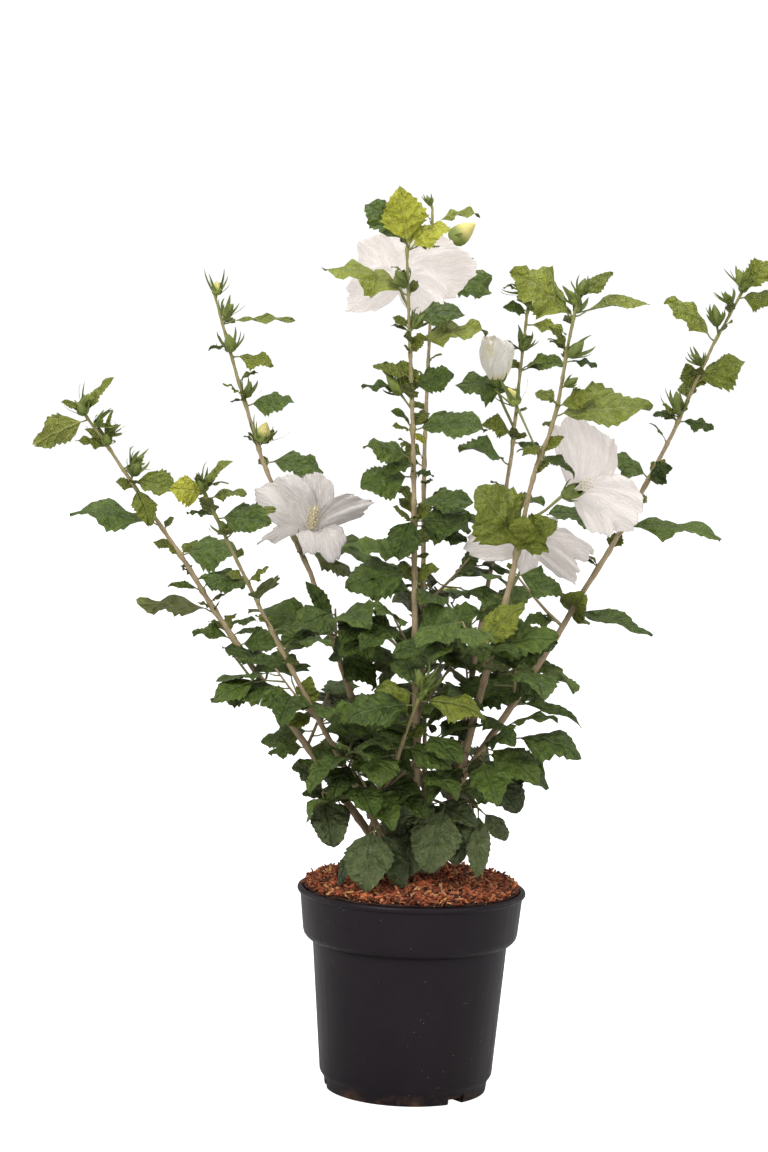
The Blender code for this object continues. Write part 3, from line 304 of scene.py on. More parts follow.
# Flower buds: how far their node is below the tip of the stem, how far their tip reaches to the right,
# back and up from it, their radius and the length of their bracts, all in millimetres, and whether the
# petals show at their tip
SHOWN_BUDS = {
    "left_outer": (
        (16, -9, -6, 13, 5.0, 18, False), (9, 6, 2, 16, 4.6, 16, False), (24, 10, -8, 6, 4.4, 18, False),
        (44, -2, -8, 12, 4.6, 18, False), (76, 9, -6, 22, 5.8, 19, False),
        (66, 20, -4, 14, 3.8, 16, False), (36, 14, 2, 14, 4.0, 18, False),
    ),
    "left_front": (
        (10, -6, -4, 16, 5.4, 18, False), (10, -14, 6, 10, 4.0, 15, False),
        (50, -3, -8, 16, 5.0, 14, False), (4, 8, 2, 16, 3.8, 16, False),
    ),
    "left_back": (
        (14, 0, 0, 18, 5.4, 19, True), (36, 10, 2, 17, 5.6, 19, False), (72, -4, -10, 22, 6.6, 21, False),
        (118, 6, -4, 20, 4.8, 18, False), (164, 8, -6, 25, 8.2, 24, True),
    ),
    "centre_front": (
        (84, 14, -6, 18, 4.4, 14, False), (160, -26, -8, 34, 6.0, 18, False),
        (44, -14, -8, 20, 4.8, 17, False),
    ),
    "centre_back": (
        (50, 44, -8, 32, 10.5, 12, True), (4, -6, 0, 14, 2.8, 9, False),
    ),
    "right_back": (
        (14, 5, -4, 18, 5.2, 17, False), (6, -16, -4, 14, 4.8, 20, False),
        (22, 13, -8, 10, 4.6, 15, False), (66, 2, -10, 20, 6.4, 21, False),
    ),
    "right_front": (
        (8, 6, -2, 20, 5.0, 15, False), (16, -8, -6, 16, 4.8, 17, False),
        (66, 16, -12, 18, 6.4, 19, False), (94, 16, -12, 11, 4.0, 13, False),
        (24, 6, 6, 16, 4.4, 18, False), (161, -33, -8, 66, 6.6, 24, True),
    ),
    "right_outer": (
        (4, -6, -6, 20, 5.4, 20, False), (10, 8, 2, 18, 4.8, 18, False), (50, -6, -6, 30, 5.4, 19, False),
        (136, -5, -8, 28, 6.2, 21, False), (22, -10, -2, 14, 4.2, 16, False),
        (84, -8, -4, 14, 3.8, 16, False),
    ),
    "short_front": (
        (0, -4, -6, 22, 4.8, 19, False), (4, 14, -2, 20, 4.8, 20, False),
        (10, 8, -10, 12, 4.2, 16, False),
    ),
    "short_back": (
        (2, 3, -4, 20, 4.6, 14, False), (16, -12, 4, 18, 4.6, 14, False),
    ),
}

# Low side twigs that hang their leaves over the compost: name, stem, place on it and end of the twig,
# then its leaves: place on the twig, tip, width, and turn of the face to the front
LOW_TWIGS = (
    ("low_left", "left_outer", 0.13, (-0.092, -0.042, 0.304), (
        (1.0, (-0.079, -0.064, 0.252), 1.05, 50),
        (0.7, (-0.112, -0.036, 0.300), 0.80, 45),
        (0.5, (-0.070, -0.012, 0.262), 0.80, 60),
        (0.9, (-0.120, -0.050, 0.332), 0.90, 46),
    )),
    ("low_front", "left_front", 0.09, (-0.038, -0.056, 0.275), (
        (1.0, (-0.048, -0.088, 0.215), 1.22, 64),
        (0.6, (-0.008, -0.070, 0.216), 0.80, 48),
        (0.8, (-0.074, -0.058, 0.214), 0.50, 40),
        (0.9, (0.000, -0.084, 0.292), 0.90, 50),
    )),
    ("low_middle", "centre_front", 0.11, (0.030, -0.040, 0.296), (
        (1.0, (0.014, -0.080, 0.234), 1.02, 62),
        (0.6, (0.062, -0.056, 0.278), 0.80, 55),
        (0.8, (-0.016, -0.062, 0.280), 1.00, 60),
        (0.4, (0.046, -0.050, 0.238), 0.85, 50),
        (0.2, (-0.011, -0.060, 0.224), 0.90, 50),
    )),
    ("low_right", "right_front", 0.13, (0.066, -0.036, 0.290), (
        (0.9, (0.064, -0.066, 0.228), 0.60, 34),
        (1.0, (0.092, -0.044, 0.262), 1.00, 44),
        (0.6, (0.040, -0.052, 0.244), 0.70, 30),
    )),
    ("low_outer", "right_outer", 0.06, (0.063, -0.030, 0.346), (
        (1.0, (0.103, -0.050, 0.291), 1.00, 64),
        (0.8, (0.060, -0.056, 0.312), 0.70, 40),
    )),
)

# Each bloom: name, stem, drop of its node below the tip, where its calyx starts, where it faces, how
# strongly its petals glow, a painted light that stands in for light coming through them from behind, up to
# 0.5, or 1.0 for the furled bloom's cream, and the petals: how far the tip reaches to the right, back and up
# from the throat, and the half width, in millimetres, then how far the petal turns its face to the front
BLOOMS = (
    ("bloom_top", "centre_front", 62, (-0.0320, -0.006, 0.806), (0.10, 0.80, 0.50), 0.50, (
        (-35, 18, 43, 27, 0.95), (-53, 12, -24, 21, 0.95), (70, 14, 20, 33, 0.95), (42, 12, -24, 24, 0.95),
        (12, 24, 50, 27, 0.95),
    )),
    ("bloom_left", "left_back", 254, (-0.1150, 0.046, 0.543), (0.12, -0.30, 0.94), 0.06, (
        (-50, 2, 52, 27, 0.95), (-4, 20, 66, 24, 0.95), (60, 6, 38, 14, 0.90), (-50, -16, -4, 9, 0.30),
        (22, -40, -16, 25, 0.20),
    )),
    ("bloom_right", "right_front", 228, (0.1330, -0.062, 0.606), (0.82, 0.30, 0.36), 0.37, (
        (-1, -8, 78, 27, 0.95), (37, 10, 56, 20, 0.85), (44, 24, 14, 19, 0.80), (71, -4, -22, 26, 0.95),
        (40, 8, -38, 19, 0.85),
    )),
    ("bloom_low", "right_front", 300, (0.1010, -0.016, 0.538), (0.16, -0.34, 0.92), 0.20, (
        (-60, -8, 13, 25, 0.90), (32, 30, 32, 17, 0.95), (68, 4, 4, 13, 0.40), (52, -14, -22, 14, 0.80),
        (-4, -32, -16, 13, 0.40),
    )),
    ("bloom_opening", "right_back", 144, (0.0720, 0.112, 0.708), (-0.03, -0.05, 1.00), 1.00, ()),
)
OPENING_LENGTH = 0.044
OPENING_RADIUS = 0.0155
CALYX_LENGTH = 0.015
CALYX_RADIUS = 0.0066
CALYX_RINGS = ((0.0, 0.40), (0.12, 0.72), (0.35, 0.96), (0.65, 1.04), (0.90, 1.10), (1.0, 1.16))
CALYX_SIDES = 30
PETAL_THICKNESS = 0.0004
BRACTS = 7
BLOOM_BRACT_LENGTH = 0.018
ANTHERS = 80
COLUMN_LENGTH = 0.034
COLUMN_RADIUS = 0.0032

# One half of a blade's outline from its base to its tip: along the leaf and out from the midrib
OUTLINE_ALONG = (0.00, 0.08, 0.18, 0.28, 0.38, 0.47, 0.56, 0.64, 0.74, 0.84, 0.93, 1.00)
OUTLINE_OUT = (0.04, 0.25, 0.58, 0.84, 0.96, 0.98, 0.91, 0.80, 0.64, 0.44, 0.22, 0.03)
ROUND_OUT = (0.05, 0.36, 0.72, 0.93, 1.00, 0.98, 0.93, 0.86, 0.75, 0.58, 0.38, 0.06)
BLADE_COLUMNS = np.array((-1.0, -0.55, 0.0, 0.55, 1.0))
TEETH = 6
TOOTH = 0.110
ROUND_TOOTH = 0.060
CRUMPLE = 0.10


def unit(vector):
    return vector / max(np.linalg.norm(vector), 1e-9)


def reach_of(bearing, pitch, length):
    flat = math.cos(pitch) * length
    return np.array((math.cos(bearing) * flat, math.sin(bearing) * flat, math.sin(pitch) * length))


class Heap:
    """Many small things that are joined into one piece: their points, faces, flat places and shades."""

    def __init__(self):
        self.points = []
        self.faces = []
        self.flat = []
        self.shade = []
        self.count = 0

    def add(self, points, faces, flat, shade):
        self.points.append(np.asarray(points, float))
        self.faces.extend(tuple(corner + self.count for corner in face) for face in faces)
        self.flat.append(np.asarray(flat, float))
        self.shade.append(np.broadcast_to(np.asarray(shade, float), (len(points),)))
        self.count += len(points)

    def piece(self, name, finish, slot, nodes):
        mesh = bpy.data.meshes.new(name)
        mesh.from_pydata(np.concatenate(self.points).tolist(), [], self.faces)
        corners = np.empty(len(mesh.loops), np.int32)
        mesh.loops.foreach_get("vertex_index", corners)
        layer = mesh.uv_layers.new(name="flat")
        layer.data.foreach_set("uv", np.concatenate(self.flat)[corners].astype(np.float32).ravel())
        shade = mesh.attributes.new("shade", "FLOAT", "POINT")
        shade.data.foreach_set("value", np.concatenate(self.shade).astype(np.float32))
        mesh.shade_smooth()
        mesh.materials.append(finish)
        made = bpy.data.objects.new(name, mesh)
        bpy.context.scene.collection.objects.link(made)
        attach(made, "root")
        if nodes:
            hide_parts(*nodes)
        return made


def tube(heap, path, radii, sides, shade=0.0):
    """A closed tube along the path. Its flat places run round it and along it."""
    path = np.asarray(path, float)
    radii = np.broadcast_to(np.asarray(radii, float), (len(path),))
    steps = np.gradient(path, axis=0)
    across = unit(np.cross(steps[0], UP)) if abs(unit(steps[0])[2]) < 0.95 else np.array((1.0, 0.0, 0.0))
    travelled = np.concatenate(([0.0], np.cumsum(np.linalg.norm(np.diff(path, axis=0), axis=1))))
    turns = np.arange(sides) * (2 * math.pi / sides)
    points = []
    flat = []
    for index in range(len(path)):
        along = unit(steps[index])
        across = unit(across - along * across.dot(along))
        other = np.cross(along, across)
        ring = np.outer(np.cos(turns), across) + np.outer(np.sin(turns), other)
        points.append(path[index] + ring * radii[index])
        flat.append(np.stack((turns / (2 * math.pi), np.full(sides, travelled[index])), axis=1))
    faces = []
    for index in range(len(path) - 1):
        low = index * sides
        for side in range(sides):
            following = (side + 1) % sides
            faces.append((low + side, low + following, low + sides + following, low + sides + side))
    faces.append(tuple(range(sides))[::-1])
    last = (len(path) - 1) * sides
    faces.append(tuple(range(last, last + sides)))
    shades = np.repeat(np.broadcast_to(np.asarray(shade, float), (len(path),)), sides)
    heap.add(np.concatenate(points), faces, np.concatenate(flat), shades)


def grid_faces(rows, columns):
    faces = []
    for row in range(rows - 1):
        for column in range(columns - 1):
            low = row * columns + column
            faces.append((low, low + 1, low + columns + 1, low + columns))
    return faces


class Stem:
    """One stem from its foot to its tip: a straight rise with a sideways bow and an even taper."""

    def __init__(self, row, stems):
        self.name, parent, start, tip, bow, self.radius, self.bare, self.sprays, bearing, self.leafy = row
        self.foot = stems[parent].at(start) if parent else np.array((*start, STEM_FOOT_HEIGHT))
        self.parent = parent
        self.tip = np.array(tip)
        self.bow = np.array((*bow, 0.0))
        self.bearing = math.radians(bearing)
        self.sway = STEM_SWAYS.get(self.name)
        self.length = float(np.linalg.norm(self.tip - self.foot))
        self.nodes = []

    def at(self, place):
        spot = self.foot + (self.tip - self.foot) * place + self.bow * (4 * place * (1 - place))
        if self.sway:
            drop = (1 - place) * (self.tip[2] - self.foot[2]) * 1000
            spot[0] += np.interp(drop, *zip(*self.sway)) / 1000
        return spot

    def radius_at(self, place):
        return self.radius + (STEM_TIP_RADIUS - self.radius) * max(place, 0.0) ** 0.8

    def place_below_tip(self, drop):
        return 1 - drop / 1000 / (self.tip[2] - self.foot[2])


class Mass:
    """One spray or shoot of the rule: the line it grows along and the leaves and twigs it carries."""

    def __init__(self, name, axis, seed):
        self.name = name
        self.axis = axis
        self.chance = random.Random(seed)
        self.leaves = []
        self.twigs = []

    def point(self, place):
        spot = place * (len(self.axis) - 1)
        low = min(int(spot), len(self.axis) - 2)
        return self.axis[low] + (self.axis[low + 1] - self.axis[low]) * (spot - low)

    def nearest(self, spot):
        places = [step / 40 for step in range(41)]
        return self.point(min(places, key=lambda place: np.linalg.norm(self.point(place) - spot)))


def grow_shoot(stem, seed):
    """The rule for the leafy upper part of a stem."""
    start = stem.bare + GAP / stem.length
    axis = [stem.at(start + (1 - start) * ring / 7) for ring in range(8)]
    mass = Mass("shoot_" + stem.name, axis, seed)
    chance = mass.chance
    shown = [stem.place_below_tip(row[0]) for row in SHOWN_LEAVES[stem.name]]
    clear = SHOWN_CLEARANCE / stem.length
    nodes = max(int((1 - stem.bare) * stem.length / NODE_SPACING), 2)
    for node in range(nodes):
        place = stem.bare + (1 - stem.bare) * (node + 0.6) / nodes
        stem.nodes.append(place)
        for part in range(2):
            bearing = stem.bearing + node * GOLDEN_TURN + part * 2.6 + chance.uniform(-0.35, 0.35)
            pitch = chance.uniform(-0.15, 0.30) + 0.35 * place
            size = LEAF_LENGTH * (1 - (1 - YOUNG_SHARE) * place ** 3) * chance.uniform(0.85, 1.15)
            face = chance.uniform(-0.3, 0.9)
            wanted = chance.random() < stem.leafy - part
            if part == 0 and any(abs(other - place) < clear for other in shown):
                wanted = False
            if wanted:
                reach = reach_of(bearing, pitch, size * (1 - 0.25 * part))
                mass.leaves.append((stem.at(place + part * clear / 3), reach, face * 0.55, kind_at(place)))
    return mass


def grow_spray(stem, number, seed):
    """The rule for a side spray: a short twig that carries leaves and side twigs in turn."""
    name = "spray_%s_%d" % (stem.name, number + 1)
    place = 0.14 + (stem.bare - 0.17) * (number + 0.35) / stem.sprays
    bearing = stem.bearing + number * GOLDEN_TURN + math.radians(SPRAYS_TURNED_ASIDE.get(name, 0))
    foot = stem.at(place)
    reach = reach_of(bearing, SPRAY_LIFT, SPRAY_LENGTH)
    rise = UP * (SPRAY_LENGTH * 0.16)
    mass = Mass(name, [foot + reach * share + rise * (share * share) for share in SPRAY_STATIONS], seed)
    chance = mass.chance
    for leaf in range(SPRAY_LEAVES):
        share = 0.24 + 0.76 * leaf / (SPRAY_LEAVES - 1)
        spot = mass.point(share)
        side = 1 if leaf % 2 else -1
        heading = bearing + side * chance.uniform(0.5, 1.6) * (1.25 - share) + (leaf < 2) * side * 0.8
        pitch = chance.uniform(-0.55, 0.30)
        size = LEAF_LENGTH * chance.uniform(0.80, 1.15)
        face = chance.uniform(-0.2, 0.9)
        if leaf in (2, 5):
            twig = reach_of(heading, pitch + 0.5, TWIG_LENGTH)
            mass.twigs.append((spot, spot + twig))
            spot = spot + twig * 0.92
        mass.leaves.append((spot, reach_of(heading, pitch, size), face * 0.8, OLD))
    return mass


def kind_at(place):
    """The age of a leaf, by how high it sits on its stem."""
    if place > 0.92:
        return YOUNG
    return GROWN if place > 0.76 else OLD


def leaf_frame(reach, face):
    """The directions along a leaf, across it and out of its upper face."""
    ahead = unit(reach)
    up = UP if abs(ahead[2]) <= 0.97 else -FRONT
    up = unit(up - ahead * up.dot(ahead))
    front = FRONT - ahead * FRONT.dot(ahead)
    if np.linalg.norm(front) > 0.2:
        up = unit(up * math.cos(face) + unit(front) * math.sin(face))
        up = unit(up - ahead * up.dot(ahead))
    return ahead, np.cross(ahead, up), up


def blade_outline(chance, teeth, roundness):
    """The rows of a blade: where each meets the midrib and both margins, for a leaf of unit length."""
    tooth = TOOTH + (ROUND_TOOTH - TOOTH) * roundness
    along = [0.0, 0.09, 0.18]
    teeth_out = [[0.0] * 3, [0.0] * 3]
    step = (0.965 - 0.25) / teeth
    for number in range(teeth):
        first = 0.25 + step * number
        along += [first + step * 0.12, first + step * 0.80]
        for side in teeth_out:
            size = chance.uniform(0.5, 1.5)
            side += [-tooth * 0.6 * size, tooth * size]
    along.append(1.0)
    along = np.array(along)
    mixed = np.array(OUTLINE_OUT) * (1 - roundness) + np.array(ROUND_OUT) * roundness
    out = np.interp(along, OUTLINE_ALONG, mixed)
    sides = [out * (1 + np.array(side + [0.0])) * chance.uniform(0.90, 1.10) for side in teeth_out]
    midrib = along * (1 - 0.32 * out)
    return along, midrib, sides


class Leaf:
    """One leaf with its blade bent, folded and rippled, and its stalk."""

    def __init__(self, root, reach, face, chance, width=1.0, teeth=TEETH, roundness=0.0):
        ahead, _, up = leaf_frame(reach, face)
        length = float(np.linalg.norm(reach))
        stalk = min(length * PETIOLE_SHARE, LONGEST_PETIOLE)
        neck = root + ahead * stalk + up * (length * 0.04)
        chord = root + reach - neck
        ahead = unit(chord)
        up = unit(up - ahead * up.dot(ahead))
        across = np.cross(ahead, up)
        bend = chance.uniform(0.15, 0.90)
        hook = chance.uniform(0.0, 0.9)
        places = np.linspace(0, 1, 25)
        tilt = bend * (0.5 - places) - hook * np.clip((places - 0.6) / 0.4, 0, 1) ** 2
        run = np.concatenate(([0.0], np.cumsum((np.cos(tilt[1:]) + np.cos(tilt[:-1])) / 48)))
        rise = np.concatenate(([0.0], np.cumsum((np.sin(tilt[1:]) + np.sin(tilt[:-1])) / 48)))
        lean = math.atan2(rise[-1], run[-1])
        scale = float(np.linalg.norm(chord)) / math.hypot(run[-1], rise[-1])
        turned_run = (run * math.cos(lean) + rise * math.sin(lean)) * scale
        turned_rise = (rise * math.cos(lean) - run * math.sin(lean)) * scale
        tilt = tilt - lean

        along, midrib, sides = blade_outline(chance, teeth, roundness)
        half = scale * LEAF_HALF_WIDTH * width
        cup = chance.uniform(0.05, 0.40)
        fold = chance.uniform(-0.05, 0.40)
        twist = chance.uniform(-0.45, 0.45)
        ripple = chance.uniform(0.08, 0.26)
        waves = chance.uniform(1.2, 2.8)
        phases = (chance.uniform(0, 6.28), chance.uniform(0, 6.28))
        points = np.empty((len(along), len(BLADE_COLUMNS), 3))
        flat = np.empty((len(along), len(BLADE_COLUMNS), 2))
        for column, share in enumerate(BLADE_COLUMNS):
            side = 0 if share < 0 else 1
            place = midrib + (along - midrib) * abs(share)
            out = sides[side] * half * share
            wave = np.sin(2 * math.pi * waves * along + phases[side]) * ripple * half * share * share
            crumple = np.sin(along * 19 + phases[side]) * np.cos(share * 3.2 + phases[1 - side])
            wave = wave + crumple * CRUMPLE * half * np.sin(math.pi * along)
            lift = fold * np.abs(out) - cup * out * out / half + wave * np.clip(along * 3, 0, 1)
            spin = twist * (place - 0.3)
            angle = np.interp(place, places, tilt)[:, None]
            middle = neck + np.outer(np.interp(place, places, turned_run), ahead)
            middle = middle + np.outer(np.interp(place, places, turned_rise), up)
            normal = np.cos(angle) * up - np.sin(angle) * ahead
            outward = np.cos(spin)[:, None] * across + np.sin(spin)[:, None] * normal
            upward = np.cos(spin)[:, None] * normal - np.sin(spin)[:, None] * across
            points[:, column] = middle + outward * out[:, None] + upward * lift[:, None]
            flat[:, column, 0] = place
            flat[:, column, 1] = 0.5 + out / scale
        self.points = points.reshape(-1, 3)
        self.flat = flat.reshape(-1, 2)
        self.faces = grid_faces(len(along), len(BLADE_COLUMNS))
        bend_point = root + (neck - root) * 0.55 - up * (stalk * 0.10)
        self.stalk = [root, bend_point, neck, self.points[2] + ahead * 0.0015]
        self.low = self.points.min(axis=0)
        self.high = self.points.max(axis=0)

    def tree(self):
        return BVHTree.FromPolygons(self.points.tolist(), self.faces)


class Plant:
    """All the heaps of the plant, and what a leaf of the rule has to keep clear of."""

    def __init__(self):
        self.leaves = {kind: Heap() for kind in KINDS}
        self.green = Heap()
        self.bark = Heap()
        self.buds = Heap()
        self.settled = []

    def meets(self, leaf):
        tree = None
        for low, high, other in self.settled:
            if (leaf.low < high).all() and (leaf.high > low).all():
                tree = tree or leaf.tree()
                if tree.overlap(other):
                    return True
        return False

    def keep(self, leaf, kind, chance):
        self.settled.append((leaf.low, leaf.high, leaf.tree()))
        self.leaves[kind].add(leaf.points, leaf.faces, leaf.flat, chance.random())
        tube(self.green, leaf.stalk, (0.0010, 0.0008, 0.0008, 0.0004), 5, 0.75 if kind == YOUNG else 0.4)

    def settle_solid(self, points, faces):
        points = np.asarray(points)
        tree = BVHTree.FromPolygons(points.tolist(), faces)
        self.settled.append((points.min(axis=0), points.max(axis=0), tree))

    def try_leaf(self, root, reach, face, kind, chance):
        """A leaf of the rule, turned aside where it would meet another and left out if it still does."""
        for turn in (0, 0.35, -0.35, 0.7, -0.7):
            aside = np.array(Matrix.Rotation(turn, 3, "Z")) @ reach
            leaf = Leaf(root, aside, face, chance)
            if not self.meets(leaf):
                self.keep(leaf, kind, chance)
                return


def ringed_cup(heap, rings, sides, shade, flat):
    """A closed shell round the rings, from its base up."""
    faces = []
    for level in range(len(rings) - 1):
        for side in range(sides):
            following = (side + 1) % sides
            low = level * sides
            faces.append((low + side, low + following, low + sides + following, low + sides + side))
    faces.append(tuple(range(sides))[::-1])
    faces.append(tuple(range((len(rings) - 1) * sides, len(rings) * sides)))
    heap.add(np.concatenate(rings), faces, np.concatenate(flat), shade)


def grow_bud(plant, root, reach, swell, bract_length, open_tip, chance):
    """A flower bud on its stalk, ribbed by its five sepals, in a ring of thin bracts."""
    axis = unit(reach)
    length = float(np.linalg.norm(reach))
    body = min(length * 0.82, swell * (2.9 if open_tip else 4.2))
    base = root + axis * (length - body)
    tube(plant.green, [root, (root + base) / 2, base + axis * 0.001], (0.0011, 0.0010, 0.0015), 6, 0.55)
    across = unit(np.cross(axis, FRONT))
    other = np.cross(axis, across)
    turns = np.arange(BUD_SIDES) * (2 * math.pi / BUD_SIDES)
    heights = np.array((0.0, 0.05, 0.16, 0.32, 0.50, 0.68, 0.84, 0.95, 1.0))
    widths = np.array((0.40, 0.72, 0.96, 1.00, 0.92, 0.72, 0.44, 0.20, 0.04))
    rings = []
    flat = []
    for height, wide in zip(heights, widths):
        rib = 1 + 0.10 * np.cos(5 * turns) * math.sin(math.pi * min(height + 0.15, 1.0))
        ring = np.outer(np.cos(turns) * rib, across) + np.outer(np.sin(turns) * rib, other)
        rings.append(base + axis * (body * height) + ring * (swell * wide))
        flat.append(np.stack((turns / (2 * math.pi), np.full(BUD_SIDES, height)), axis=1))
    ringed_cup(plant.buds, rings, BUD_SIDES, 1.0 if open_tip else chance.uniform(0.2, 0.75), flat)
    ring_of_bracts(plant, base, axis, across, other, swell, BRACTS, bract_length, chance)


def ring_of_bracts(plant, base, axis, across, other, swell, number, length, chance):
    """Narrow blades that leave the bud's base sideways and then stand up round it."""
    for bract in range(number):
        turn = 2 * math.pi * bract / number + chance.uniform(-0.3, 0.3)
        out = across * math.cos(turn) + other * math.sin(turn)
        side = np.cross(axis, out)
        size = length * chance.uniform(0.80, 1.50)
        flare = chance.uniform(0.25, 0.95)
        sway = chance.uniform(-0.25, 0.25)
        half = chance.uniform(0.0015, 0.0027)
        points = []
        flat = []
        for step in range(6):
            share = step / 5
            spread = swell * 0.5 + size * flare * 0.75 * math.sin(share * 1.6)
            rise = size * share * (1.15 - 0.5 * flare)
            middle = base + out * spread + axis * rise + side * (sway * size * share * share)
            wide = half * (0.6, 1.0, 1.0, 0.8, 0.5, 0.12)[step]
            raised = axis * wide * 0.4
            points += [middle - side * wide + raised, middle - out * wide * 0.4]
            points += [middle + side * wide + raised]
            flat += [(0.0, share * 0.25), (0.5, share * 0.25), (1.0, share * 0.25)]
        plant.buds.add(points, grid_faces(6, 3), flat, chance.uniform(0.05, 0.7))


def petal_rows(throat, axis, tip, half, turn, chance, rows=28, columns=25):
    """Points over one petal, which leaves the throat along the axis and bends out to its crinkled tip."""
    reach = tip - throat
    length = float(np.linalg.norm(reach))
    outward = unit(reach - axis * reach.dot(axis))
    bend = throat + axis * (length * 0.42) + outward * (length * 0.10)
    sideways = np.cross(axis, outward)
    facing = unit(np.cross(reach, FRONT))
    facing = facing if facing.dot(sideways) >= 0 else -facing
    sideways = unit(sideways * (1 - turn) + facing * turn)
    normal = unit(np.cross(reach, sideways))
    share = np.linspace(0.04, 1.0, rows)[:, None]
    side = np.linspace(-1, 1, columns)[None, :]
    lobes = 0.030 * np.sin(side * chance.uniform(4, 6) + chance.uniform(0, 6))
    lobes = lobes + 0.012 * np.sin(side * chance.uniform(14, 19) + chance.uniform(0, 6))
    lobes = lobes + 0.008 * np.sin(side * chance.uniform(24, 31) + chance.uniform(0, 6))
    along = share * (1 - 0.20 * side * side * share ** 2 + lobes * share ** 4)
    wide = half * (0.10 + 0.90 * np.sin(np.minimum(share / 0.74, 1.0) * math.pi / 2) ** 1.15)
    first = throat + (bend - throat) * along[..., None]
    second = bend + (tip - bend) * along[..., None]
    points = first + (second - first) * along[..., None]
    points = points + sideways * (wide * side)[..., None]
    lift = half * 0.20 * side * side * share
    for wave in range(4):
        count = chance.uniform(2.0, 8.0)
        phase = chance.uniform(0, 6.28)
        slant = chance.uniform(-2, 2)
        depth = 0.0028 / (1 + wave * 0.4)
        lift = lift + np.sin(side * count + phase + share * slant) * depth * np.clip(share * 1.6, 0, 1)
    lift = lift + np.sin(side * chance.uniform(11, 16) + chance.uniform(0, 6)) * 0.0016 * share ** 5
    for _ in range(3):
        fold = np.abs(np.sin(side * chance.uniform(5, 9) / (0.35 + share) + chance.uniform(0, 6)))
        lift = lift + fold * 0.0012 * np.clip(share * 2, 0, 1)
    lift = lift + np.sin(share * chance.uniform(18, 26) + side * 3) * 0.0013 * np.abs(side) ** 5
    lift = lift - length * chance.uniform(0.02, 0.16) * np.clip((share - 0.72) / 0.28, 0, 1) ** 2
    points = points + normal * lift[..., None]
    flat = np.stack(np.broadcast_arrays(side * 0.5 + 0.5, share), axis=-1)
    return points, flat


def furled_petals(heap, throat, axis, length, radius):
    """The five petals of an opening bud, each wrapped over the next."""
    across = unit(np.cross(axis, UP + FRONT * 0.2))
    other = np.cross(axis, across)
    rows, columns = 22, 24
    height = np.linspace(0, 1, rows)[:, None]
    for petal in range(5):
        sweep = np.linspace(0, 1, columns)[None, :]
        turn = petal * 2 * math.pi / 5 + sweep * 2.5 + height * 0.9
        belly = np.interp(height, (0, 0.15, 0.4, 0.7, 0.9, 1.0), (0.42, 0.66, 0.94, 1.06, 1.02, 0.80))
        wrap = belly * (0.84 + 0.18 * sweep + 0.02 * np.sin(turn * 3 + petal))
        top = 1 - 0.16 * (2 * sweep - 1) ** 2 + 0.05 * np.sin(turn * 5 + petal * 2) - 0.03 * petal
        out = np.cos(turn)[..., None] * across + np.sin(turn)[..., None] * other
        crease = 0.0014 * np.sin(sweep * 18 + height * 7 + petal)
        crease = crease + 0.0018 * np.sin(turn * 7 + height * 12) * height ** 2
        points = throat + axis * (height * top * length)[..., None]
        points = points + out * (wrap * radius + crease)[..., None]
        flat = np.stack(np.broadcast_arrays(sweep, height * 0.7 + 0.3), axis=-1)
        heap.add(points.reshape(-1, 3), grid_faces(rows, columns), flat.reshape(-1, 2), 1.0)


